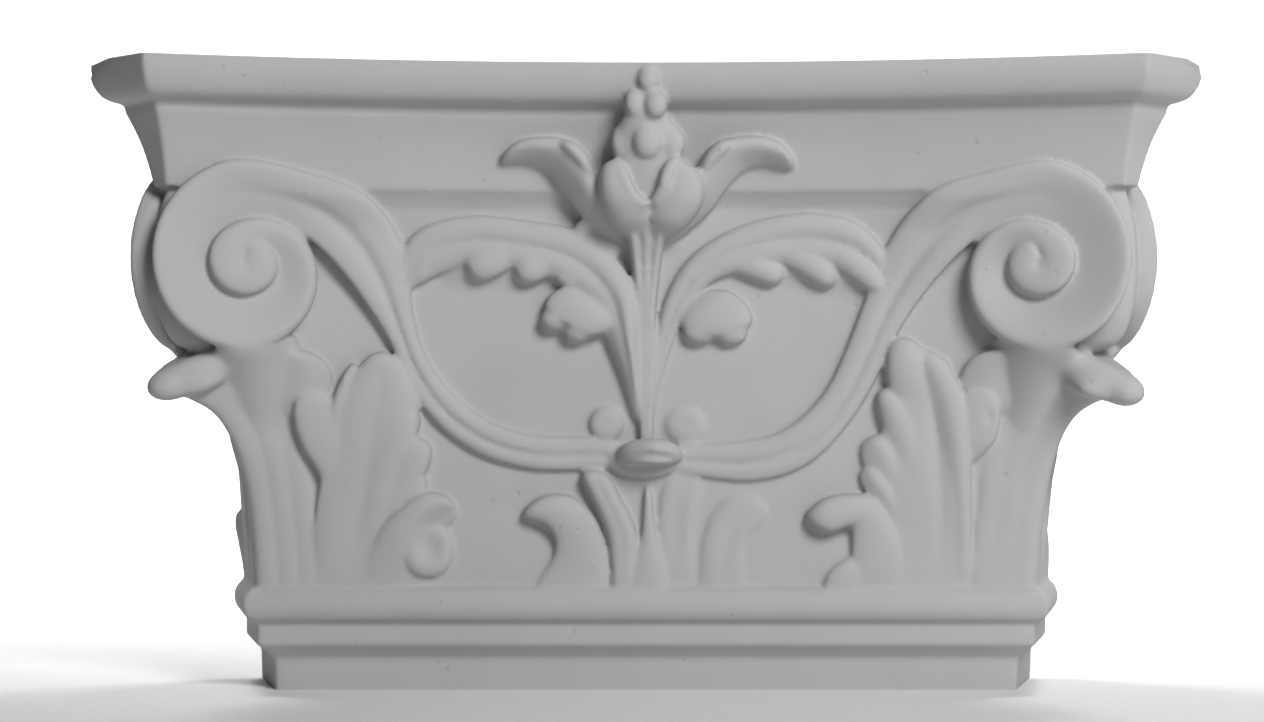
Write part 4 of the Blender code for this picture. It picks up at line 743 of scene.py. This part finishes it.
def left_half_leaf():
    return [
        flat_leaf("half leaf", [
            (5, 104, 2, 104, 1, 2.4), (9, 120, 2.6, 122, 2.4, 6), (14, 133, 3.4, 138, 3, 7.4),
            (21, 147, 4.6, 156, 2.4, 7), (31, 157, 13.4, 169.4, 1.6, 6.6),
            (42.5, 161.5, 27, 178.4, 1.6, 6.2), (56, 163.8, 46, 182, 1.6, 6),
            (68, 164.6, 66, 183.8, 1.4, 5.8), (79, 161.5, 83, 180.5, 1, 5.4), (89, 156.5, 93, 172.5, 0.6, 5),
            (94.5, 151.5, 97.3, 157, 0.2, 4)],
            section=half_leaf_fold, base=0.03, tip=0.06, rim=0.4, fine=(48, 60)),
        carve("hanging lobe a", [
            (79, 172, 1, 4.6, 4), (85, 165, 1.4, 5, 4.6), (90, 158, 1, 3.4, 4.2)], tip=0.3),
        carve("hanging lobe b", [
            (48, 171, 0.6, 4.4, 5), (56, 168.5, 1.8, 6.4, 6.2), (63, 165.5, 2.2, 6.8, 6.6),
            (69, 162.5, 1.8, 4.6, 6)], base=0.2, tip=0.2, rim=0.6),
        carve("hanging lobe c", [
            (32, 165, 0.6, 4, 4.6), (39, 165.5, 1.6, 5.6, 5.8), (45, 163.8, 2.2, 6.2, 6.4),
            (50.5, 161.4, 1.8, 4.4, 5.8)], base=0.2, tip=0.2, rim=0.6),
        carve("hanging lobe d", [
            (22, 157, 1, 4.4, 4.4), (29, 160, 2, 4.6, 5.4), (35, 162, 2.2, 3.4, 5)],
            base=0.2, tip=0.3),
        flat_leaf("round lobe", [
            (26, 157.5, 12, 150, 1, 5), (34, 155.5, 12, 143, 2.4, 6.4), (38.5, 151.5, 14, 140.5, 2.8, 6.8),
            (38.4, 147, 18, 138, 2.8, 6.6), (33.5, 143.5, 22.5, 137.5, 2.4, 6),
            (28.5, 141.5, 27, 140, 2, 5)],
            base=0.2, tip=0.2, rim=0.45, fine=(40, 32)),
        pad("lobe scallop", 35.4, 144, 5.4, 4.6, 2.4, 6.4, rim=0.6),
        pad("lobe scallop", 26.4, 139.4, 5.4, 4.4, 2.2, 6.2, rim=0.6),
        flat_leaf("hanging edge", [
            (80, 158, 82, 171, 0.2, 2), (71, 155, 71, 170, 0.2, 3.2), (60, 155, 60, 170, 0.2, 3.6),
            (50, 156, 50, 170, 0.2, 3.6), (40, 156.4, 38, 168, 0.2, 3.6), (30, 154, 27, 162, 0.2, 3)],
            section=one_sided(0.05), base=0.12, tip=0.12, rim=0.4),
        carve("small bud", [
            (12, 176, 1, 2.4, 3.4), (17.5, 180.4, 1.4, 2.8, 4), (23, 180.6, 1.8, 2.8, 4.6),
            (26, 177, 1.8, 2.4, 4.4), (25.6, 172.6, 1.2, 1.8, 3.6)], base=0.2, tip=0.3, rim=0.6),
        flat_leaf("small bud body", [
            (20, 181, 6, 172, 0.6, 3.4), (26, 178, 12, 168, 0.8, 4.2),
            (25, 173, 18, 168, 0.8, 3.4)], base=0.3, tip=0.3, rim=0.5),
    ]


def right_half_leaf():
    return [
        flat_leaf("half leaf", [
            (3.2, 106, 2.4, 106, 0, 1.6), (6, 122, 3, 122, 0.4, 2.8), (11.5, 138, 4, 138, 0.6, 3.4),
            (18, 150, 8, 154, 0.8, 4.2), (26, 158.5, 17, 168, 1, 4.8), (38, 162.8, 31, 177.5, 1.4, 5.2),
            (50, 165, 47, 183, 1.4, 5.4), (63.5, 164.8, 64, 184.8, 1.4, 5.6),
            (75.5, 162.6, 80, 181.5, 1.4, 5.8), (85, 157.6, 90.5, 172, 1, 5.4),
            (91, 154, 94.5, 157, 0.4, 4.4)],
            section=flutes(2, 0.34), base=0.03, tip=0.06, rim=0.4, fine=(48, 60)),
        carve("hanging lobe a", [
            (66, 173, 0.8, 4.4, 4.4), (77, 167, 1.8, 5.4, 5.8), (86, 160, 2.2, 4.8, 6),
            (92, 153.6, 1.2, 2.8, 4.6)], base=0.2, tip=0.2),
        carve("hanging lobe b", [
            (49, 171.5, 0.8, 4.2, 4.2), (59, 167.5, 1.6, 5.4, 5.6), (67, 162.4, 2, 5.2, 5.8),
            (72.5, 157, 1.4, 3.2, 5)], base=0.2, tip=0.22),
        carve("hanging lobe c", [
            (31, 166.5, 0.8, 3.8, 4), (40.5, 164.8, 1.4, 5, 5.2), (48.5, 161.6, 1.6, 4.6, 5.2),
            (52.5, 159.2, 1.2, 3, 4.4)], base=0.2, tip=0.25),
        flat_leaf("round lobe", [
            (12, 146, 22, 157, 1, 4), (13, 142.5, 31, 155.5, 1.8, 5.4), (15.5, 140, 38, 150.5, 2.4, 6),
            (20.5, 137.5, 41, 144.5, 2.4, 6), (27.5, 137, 39, 140.5, 1.8, 5), (31, 138, 35, 139, 1, 3.6)],
            base=0.25, tip=0.2, rim=0.5, fine=(40, 32)),
        pad("lobe scallop", 20.6, 139.4, 6.4, 4.8, 2, 5.6, rim=0.6),
        pad("lobe scallop", 33, 138.8, 6, 4.6, 1.8, 5.4, rim=0.6),
        flat_leaf("hanging edge", [
            (38, 161, 36, 169, 0.2, 2.6), (49, 158, 47, 170, 0.2, 3.4), (61, 155.4, 59, 171, 0.2, 3.8),
            (73, 153, 72, 171, 0.2, 4), (84, 151, 85, 167, 0.2, 3.8), (91, 150.4, 93, 158, 0.2, 3)],
            section=one_sided(0.05), base=0.12, tip=0.12, rim=0.4),
    ]


# The flower on the middle of the abacus and what carries it


def stem():
    forms = [
        carve("stem reed", [
            (offset * 0.7, 92, 1, 1.2, 3.4), (offset, 118, 1.2, 1.2, 4.2),
            (offset * 1.2, 145, 1.6, 1.4, 4.6),
            (offset * 1.9, 165, 2.4, 2, 6.2), (offset * 2.6, 176, 5, 2.6, 9),
            (offset * 3.2, 187, 10, 3, 11)], fine=(16, 40))
        for offset in (-1.9, 0, 1.9)
    ]
    forms.append(carve("stem head", [
        (0, 150, 0, 2.4, 1.6), (0, 163, 1, 4.4, 3.4), (0, 174, 3.6, 7, 6), (0, 183, 7, 9.5, 9),
        (0, 190, 9, 10, 10)], tip=0.3))
    return forms


def petals():
    return [
        finish_side(flat_leaf("left petal", [
            (6, 173, -2, 177, -24, 8), (13.5, 180, -2.2, 182.5, -19, 11), (17.4, 188, -0.5, 187.2, -14, 11),
            (18, 196, 4.4, 190.5, -12, 10), (16.4, 202, 8.2, 198.5, -11.5, 8.5),
            (12.6, 204.6, 11.2, 203.8, -11, 6)],
            ground=abacus_front, base=0.2, tip=0.16, rim=0.55, under=20), -1),
        flat_leaf("right petal", [
            (-2, 178, 6, 173, -24, 8), (-0.4, 183, 15, 179, -19, 11), (3, 188.4, 21, 187, -15, 11),
            (6.2, 194, 22, 194.5, -13, 10), (8, 200.5, 20, 200, -12.5, 8.5), (11, 204.6, 16, 203.2, -12, 6)],
            ground=abacus_front, base=0.2, tip=0.16, rim=0.55, under=20),
        carve("left petal rim", [
            (-13, 203.4, -6.4, 2, 2.8), (-9.4, 199, -5.4, 2.4, 3.4), (-7, 193.2, -5, 2.4, 3.6),
            (-4, 189, -5.8, 2.2, 3.4), (0.6, 186.6, -8, 1.8, 3)], abacus_front, base=0.12, under=8),
        carve("right petal rim", [
            (13.8, 204.2, -7.2, 2, 2.8), (9.9, 202, -5.8, 2.4, 3.8), (7.6, 197.6, -5.2, 2.5, 4.2),
            (6.2, 192.6, -5.8, 2.3, 3.8), (1.8, 186.8, -8.2, 1.8, 3)], abacus_front, base=0.12, under=8),
        pad("flower foot", 0, 181, 9, 8, -30, 14, abacus_front, under=8),
    ]


BERRIES = (
    # x, z, forward of the abacus face, half width, half height
    (0.8, 233.8, -0.5, 4, 4.9), (-4.6, 225, -2, 3.6, 5), (3.6, 224.3, -0.5, 4.2, 5.2),
    (-9.4, 211, -9.5, 3.8, 6.8), (0.4, 210.6, -5, 5.6, 6.6), (9.6, 210.8, -8.5, 5.2, 6.2),
)


def berries():
    forms = [
        pad("berry", x, z, width, height, forward, width, abacus_front, under=width + 10)
        for x, z, forward, width, height in BERRIES
    ]
    forms.append(carve("berry core", [
        (0, 178, -26, 3, 6), (0, 189, -18, 6.5, 8), (-0.5, 201, -13, 10.5, 8), (0, 212, -11.5, 12.4, 8),
        (0, 221, -7.5, 8.6, 7), (0.4, 230, -5.5, 5.2, 6),
        (0.6, 236.6, -4.5, 3.4, 5)], abacus_front, base=0.2, tip=0.1, under=20))
    return forms


def flower_leaves(side):
    left = [
        (4, 170, -30, 10, 176, -30, 4), (14, 175, -28, 17, 188, -24, 8), (24, 183, -25, 19, 198, -20, 11),
        (32, 193, -23, 23, 206, -18, 11), (38.5, 200.4, -22, 30, 212, -17, 10.4),
        (45, 203, -21, 39, 213.2, -16.5, 9.6), (51, 203, -20, 48.5, 211.6, -17, 8.4),
        (56.2, 201.8, -19.5, 56, 206.4, -18.5, 6.4)]
    right = [
        (4, 170, -30, 10, 176, -30, 4), (14, 176, -28, 17, 188, -24, 8),
        (24.6, 185.4, -25, 19, 198, -20, 11), (31, 194, -23, 21.6, 206, -18, 11),
        (38, 200.4, -22, 28, 211.6, -17, 10.4), (45, 202.4, -21, 39, 213.6, -16.5, 9.6),
        (52, 201.4, -20, 50, 211.8, -17, 8.4), (56, 199.6, -19.5, 57.8, 204.4, -18.5, 6.4)]
    fold = [
        (20.5, 197, -14, 2, 5), (24.6, 204.6, -12, 3, 6), (29.4, 209, -11.4, 3, 6), (34, 210.4, -12, 2, 5)]
    forms = [
        leaf("flower leaf", left if side < 0 else right, ground=abacus_front, section=one_sided(0.6),
             base=0.06, tip=0.12, rim=0.55, under=14),
        carve("flower leaf fold", fold, abacus_front, base=0.3, tip=0.4, rim=1, under=10),
    ]
    return [finish_side(form, side) for form in forms]


def boss():
    """The knot over the scrolls' feet: a leaf tip that bends forward and down."""
    return [
        pad("boss", -1, 89.6, 7.2, 14, 1, 6, lean=pi / 2),
        carve("boss lip", [
            (-11.5, 90.5, 4, 3.4, 5), (-4.5, 92.6, 8, 4.8, 7), (3, 93.2, 10, 5.2, 7.6),
            (9.5, 92.2, 8, 4.4, 6.6), (13.8, 90, 4, 2.4, 4.4)], section=cupped(0.4, -0.3, 0.3, 0.4),
            base=0.2, tip=0.2, under=5, fine=(24, 24)),
    ]


def lower_leaves():
    left = [
        flat_leaf("rolled leaf", [
            (13, 38, 5.5, 38, 0.2, 2.6), (13.6, 50, 4, 50, 0.4, 3.6), (15, 60, 3.6, 60, 1, 4.6),
            (18.4, 69, 6, 68, 1.6, 5.4), (22.6, 77.5, 9.6, 74.5, 2, 6), (25, 83.5, 12.5, 80.5, 2.2, 6.2),
            (23, 86.6, 15.5, 85.6, 2, 5.2)], section=flutes(2, 0.16), base=0.04, tip=0.14),
        flat_leaf("outer leaf", [
            (44, 38, 15, 38, 0, 2.2), (40, 45.5, 15, 48, 0.2, 2.8), (36.2, 52, 16.5, 58, 0.6, 3.8),
            (35.4, 58.6, 20.5, 68, 1.6, 5), (38.4, 64, 28.5, 75.6, 2.4, 5.8),
            (43.2, 66.4, 38.5, 76.2, 2.6, 5.6),
            (48.8, 67.4, 46.8, 71.6, 2, 4)], base=0.03, tip=0.1, rim=0.65, fine=(40, 32)),
        pad("bud over boss", 15.4, 103.6, 6.8, 6.6, 0.6, 3.8, section=cupped(0.25)),
    ]
    right = [
        flat_leaf("rolled leaf", [
            (9.5, 38, 19.5, 38, 0, 0.8), (7, 50, 18.5, 50, 0, 1.2), (5, 62, 18, 62, 0.2, 1.6),
            (5.5, 74, 20, 74, 0.4, 2), (8, 86, 23, 85, 0.4, 2)],
            section=cupped(0.6, 0, 0.5, 0.4), base=0.04, tip=0.2, rim=0.8),
        flat_leaf("outer leaf", [
            (20.6, 38, 40, 38, 0, 1.2), (21, 48, 37.5, 48, 0, 1.7), (22, 58, 37.5, 56, 0.2, 2),
            (26, 69, 40, 61.5, 0.3, 2.2), (33, 75.2, 43.5, 65, 0.4, 2), (41.5, 75, 46.5, 68, 0.2, 1.6),
            (46.5, 72, 48, 70, 0, 1)], section=cupped(0.5, 0.2, 0.4, 0.5),
            base=0.03, tip=0.15, rim=0.7),
        pad("bud over boss", 15.2, 103.2, 8, 7, 0.2, 2.4, section=cupped(0.3)),
    ]
    stalk = flat_leaf("stalk", [
        (-7, 38, 9.6, 38, 0.2, 2.6), (-4.6, 48, 7, 48, 0.4, 3.2), (-2.4, 58, 4.6, 58, 0.6, 3.4),
        (-1.2, 68, 2.8, 68, 0.8, 3.4), (-0.8, 80, 2, 80, 0.8, 3)])
    return [finish_side(form, -1) for form in left] + right + [stalk]


def carving():
    """All the carved forms, each a closed mesh that sinks into the body."""
    forms = []
    left = left_front_leaf() + left_volute() + [corner_leaf(0.35)]
    right = right_front_leaf() + right_volute() + [corner_leaf(0.15)]
    for side, corner, droop in ((-1, left, 0.0), (1, right, 2.0)):
        corner += [corner_lip(droop)] + corner_shoulder()
        corner += [reflect_round_corner(form) for form in corner]
        corner += [corner_tip(droop), corner_drum()]
        forms += [finish_side(form, side) for form in corner]
    forms += [finish_side(form, -1) for form in left_half_leaf()]
    forms += right_half_leaf()
    forms += stem() + boss() + lower_leaves()
    forms += flower_leaves(-1) + flower_leaves(1) + petals() + berries()
    return forms


# The casting


def join(forms, name):
    bpy.ops.object.select_all(action="DESELECT")
    for form in forms:
        form.select_set(True)
    bpy.context.view_layer.objects.active = forms[0]
    bpy.ops.object.join()
    joined = bpy.context.object
    joined.name = name
    joined.data.name = name
    return joined


def apply_modifier(thing, kind, **settings):
    bpy.context.view_layer.objects.active = thing
    bpy.ops.object.modifier_add(type=kind)
    modifier = thing.modifiers[-1]
    for key, value in settings.items():
        setattr(modifier, key, value)
    bpy.ops.object.modifier_apply(modifier=modifier.name)


def begin_edit(thing):
    bpy.context.view_layer.objects.active = thing
    bpy.ops.object.mode_set(mode="EDIT")
    bpy.ops.mesh.select_all(action="SELECT")


def cut_flat(thing, point, normal):
    """Cuts the casting off on the plane's outer side and closes the cut."""
    begin_edit(thing)
    bpy.ops.mesh.bisect(plane_co=point, plane_no=normal, use_fill=True, clear_outer=True, threshold=1e-6)
    bpy.ops.object.mode_set(mode="OBJECT")


def drop_crumbs(thing):
    """Merges points that all but coincide, and deletes what that leaves loose."""
    begin_edit(thing)
    bpy.ops.mesh.remove_doubles(threshold=CRUMB)
    bpy.ops.mesh.delete_loose()
    bpy.ops.object.mode_set(mode="OBJECT")


def soften(thing, name, places, reach, iterations):
    """Rounds off the forms round the given places, as a worn mould leaves them."""
    group = thing.vertex_groups.new(name=name)
    middles = [Vector(place) for place in places]
    for vertex in thing.data.vertices:
        near = 1 - min((vertex.co - middle).length for middle in middles) / reach
        if near > 0:
            group.add([vertex.index], min(1.0, 2 * near), "REPLACE")
    apply_modifier(thing, "SMOOTH", factor=0.5, iterations=iterations, vertex_group=name)


def lip_middle(side):
    """The middle of a corner leaf's overturned lip."""
    x, z, proud = LIP
    x, z = on_capital(x, z)
    return (side * x, WALL_Y - (x - DIAGONAL) - proud * MM, z)


def flower_middle():
    x, z = on_capital(*FLOWER)
    return (x, WALL_Y - ABACUS_FACE, z)


def wear_horns(thing):
    """Rounds off and roughens the tips of the horns, which are knocked about."""
    for vertex in thing.data.vertices:
        side = 1 if vertex.co.x > 0 else -1
        tip = Vector((side * ABACUS_WIDTH / 2, WALL_Y - HORN_FRONT + HORN_CUT, TOP_Z))
        near = 1 - (vertex.co - tip).length / WORN_REACH
        if near > 0:
            waves = sin(vertex.co.z * WAVES[0] + side) * sin(vertex.co.y * WAVES[1] + 2 * side)
            rough = 1 + WORN_ROUGHNESS * waves
            inwards, down = WORN_WAY
            vertex.co += Vector((-inwards * side, 0, -down)) * WORN_DEPTH * near**1.5 * rough


def cast_capital():
    capital = join([body()] + carving(), "plaster_capital")
    apply_modifier(capital, "REMESH", mode="VOXEL", voxel_size=VOXEL)
    apply_modifier(capital, "SMOOTH", factor=0.5, iterations=SMOOTHING)
    soften(capital, "lips", [lip_middle(-1), lip_middle(1)], LIP_REACH, LIP_SMOOTHING)
    soften(capital, "flower", [flower_middle()], FLOWER_REACH, FLOWER_SMOOTHING)
    triangles = sum(len(face.vertices) - 2 for face in capital.data.polygons)
    apply_modifier(capital, "DECIMATE", ratio=min(1.0, MOST_TRIANGLES / triangles))
    drop_crumbs(capital)
    cut_flat(capital, (0, WALL_Y, 0), (0, 1, 0))
    cut_flat(capital, (0, 0, 0), (0, 0, -1))
    cut_flat(capital, (0, 0, TOP_Z), (0, 0, 1))
    wear_horns(capital)
    bpy.context.view_layer.objects.active = capital
    capital.select_set(True)
    bpy.ops.object.shade_smooth_by_angle(angle=SMOOTH_ANGLE)
    for face in capital.data.polygons:
        if len(face.vertices) > CUT_CORNERS:
            face.use_smooth = False
    return capital


# Plaster


class Field:
    """A number that varies over the surface. Sums and products of fields add their Math nodes."""

    def __init__(self, tree, socket):
        self.tree, self.socket = tree, socket

    def math(self, operation, *terms):
        return self.tree.add("ShaderNodeMath", {"operation": operation}, *terms)

    def __add__(self, other):
        return self.math("ADD", self, other)

    def __radd__(self, other):
        return self.math("ADD", other, self)

    def __sub__(self, other):
        return self.math("SUBTRACT", self, other)

    def __rsub__(self, other):
        return self.math("SUBTRACT", other, self)

    def __mul__(self, other):
        return self.math("MULTIPLY", self, other)

    def step(self, low, high):
        """0 below low, 1 above high, smooth between."""
        settings = {"interpolation_type": "SMOOTHSTEP"}
        return self.tree.add("ShaderNodeMapRange", settings, self, low, high, 0.0, 1.0)


MIXED_COLOUR = 2            # the Mix node's outputs are a number, a vector and a colour


class Tree:
    """The nodes of one material."""

    def __init__(self, name):
        self.material = bpy.data.materials.new(name)
        self.material.use_nodes = True
        self.nodes = self.material.node_tree.nodes
        self.links = self.material.node_tree.links
        self.shader = self.nodes["Principled BSDF"]

    def add(self, kind, settings, *values, output=0, **named):
        node = self.nodes.new(kind)
        for key, value in settings.items():
            setattr(node, key, value)
        for place, value in list(enumerate(values)) + list(named.items()):
            self.feed(node.inputs[place], value)
        return Field(self, node.outputs[output])

    def feed(self, socket, value):
        if isinstance(value, Field):
            self.links.new(value.socket, socket)
        else:
            socket.default_value = value

    def noise(self, place, scale, detail=2.0, rough=0.5):
        settings = {"Vector": place, "Scale": scale, "Detail": detail, "Roughness": rough}
        return self.add("ShaderNodeTexNoise", {}, **settings)


def plaster():
    """Cast stucco: matt, faintly mottled, fine-grained, with small air pits and soft tool marks, and painted
    shade in its hollows and pits.
    """
    tree = Tree("cast plaster")
    place = tree.add("ShaderNodeTexCoord", {}, output="Object")
    mottle = tree.noise(place, MOTTLE_SCALE, 3.0)
    patches = tree.noise(place, PATCH_SCALE, 2.0)
    grain = tree.noise(place, GRAIN_SCALE, 2.0, 0.6)
    lumps = tree.noise(place, LUMP_SCALE, 3.0)
    cells = tree.add("ShaderNodeTexVoronoi", {"feature": "F1"}, Vector=place, Scale=PIT_SCALE)
    chosen = tree.noise(place, PIT_CHOICE_SCALE, 0.0).step(*PIT_CHOICE)
    # The pits are dents in the bump below, and in the colour their floors get painted shade.
    pits = (1.0 - cells.step(*PIT_EDGE)) * chosen
    edges = tree.add("ShaderNodeNewGeometry", {}, output="Pointiness")
    facing = tree.add("ShaderNodeTexCoord", {}, output="Normal")
    carved = 1.0 - tree.add("ShaderNodeSeparateXYZ", {}, facing, output="Y").step(*WALL_FACE)
    # Mask of the painted shade in hollows: low pointiness, away from the flat cut against the wall.
    hollow = (1.0 - edges.step(*HOLLOW)) * carved
    tone = mottle * MOTTLE_TONE + patches * PATCH_TONE + grain * GRAIN_TONE - TONE_SHIFT
    # Painted shade: the hollows and the floors of the air pits are painted darker.
    tone = tone - hollow * HOLLOW_SHADE_TONE - pits * PIT_SHADE_TONE
    colour = tree.add("ShaderNodeMix", {"data_type": "RGBA"}, Factor=tone, output=MIXED_COLOUR)
    dark, pale = (socket for socket in colour.socket.node.inputs if socket.type == "RGBA")
    dark.default_value, pale.default_value = PLASTER_DARK, PLASTER_LIGHT
    tree.feed(tree.shader.inputs["Base Color"], colour)
    tree.feed(tree.shader.inputs["Roughness"], 0.82 + mottle * 0.12)
    height = lumps * 0.35 + grain * 0.12 - pits * 1.2
    settings = {"Strength": BUMP_STRENGTH, "Distance": BUMP_DEPTH, "Height": height}
    bump = tree.add("ShaderNodeBump", {}, **settings)
    tree.feed(tree.shader.inputs["Normal"], bump)
    tree.shader.inputs["Specular IOR Level"].default_value = 0.25
    return tree.material


# The studio


def matt(name, colour):
    tree = Tree(name)
    place = tree.add("ShaderNodeTexCoord", {}, output="Object")
    tree.feed(tree.shader.inputs["Roughness"], 0.8 + tree.noise(place, 4.0) * 0.1)
    tree.shader.inputs["Base Color"].default_value = colour
    return tree.material


def sweep():
    """A pale sweep: the floor, which curves up into the backdrop behind the capital."""
    bpy.ops.mesh.primitive_grid_add(x_subdivisions=2, y_subdivisions=SWEEP_STEPS, size=1.0)
    floor = bpy.context.object
    floor.name = "studio_sweep"
    for vertex in floor.data.vertices:
        along = (vertex.co.y + 0.5) * SWEEP_LENGTH - SWEEP_FRONT - SWEEP_FLAT
        turn = np.clip(along / SWEEP_RADIUS, 0, pi / 2)
        beyond = max(along - SWEEP_RADIUS * pi / 2, 0)
        vertex.co.x *= SWEEP_WIDTH
        vertex.co.y = SWEEP_FLAT + min(along, 0) + SWEEP_RADIUS * sin(turn)
        vertex.co.z = SWEEP_RADIUS * (1 - cos(turn)) + beyond
    bpy.ops.object.shade_smooth()
    floor.data.materials.append(matt("studio sweep", SWEEP_COLOUR))


def light(name, place, target, energy, size, spread=180):
    bpy.ops.object.light_add(type="AREA", location=place)
    lamp = bpy.context.object
    lamp.name = name
    lamp.data.energy = energy
    lamp.data.size = size
    lamp.data.spread = radians(spread)
    direction = Vector(target) - lamp.location
    lamp.rotation_euler = direction.to_track_quat("-Z", "Y").to_euler()


def lights():
    flat = KEY_DISTANCE * cos(KEY_ELEVATION)
    height = MIDDLE[2] + KEY_DISTANCE * sin(KEY_ELEVATION)
    place = (flat * sin(KEY_AZIMUTH), -flat * cos(KEY_AZIMUTH), height)
    light("key", place, MIDDLE, KEY_POWER, KEY_SIZE)
    for name, side in (("backdrop left", -1), ("backdrop right", 1)):
        place, target = ((side * x, y, z) for x, y, z in (BACKDROP_PLACE, BACKDROP_TARGET))
        light(name, place, target, BACKDROP_POWER, BACKDROP_SIZE, BACKDROP_SPREAD)

    world = bpy.data.worlds.new("studio")
    bpy.context.scene.world = world
    world.use_nodes = True
    background = world.node_tree.nodes["Background"]
    background.inputs["Color"].default_value = (1, 1, 1, 1)
    background.inputs["Strength"].default_value = WORLD_STRENGTH


def camera():
    bpy.ops.object.camera_add(location=(0, WALL_Y - HORN_FRONT - CAMERA_DISTANCE, CAMERA_HEIGHT))
    viewer = bpy.context.object
    viewer.rotation_euler = (pi / 2, 0, 0)
    lens = viewer.data
    lens.sensor_width = SENSOR
    lens.lens = SENSOR * PIXELS_PER_METRE * CAMERA_DISTANCE / FRAME_WIDTH
    lens.shift_x = (FRAME_WIDTH / 2 - MIDDLE_PIXEL[0]) / FRAME_WIDTH
    lens.shift_y = (MIDDLE_PIXEL[1] - FRAME_HEIGHT / 2) / FRAME_WIDTH
    bpy.context.scene.camera = viewer
    bpy.context.scene.view_settings.view_transform = "Standard"


capital = cast_capital()
capital.data.materials.clear()
capital.data.materials.append(plaster())
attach(capital, "root")
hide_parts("capital")
sweep()
lights()
camera()
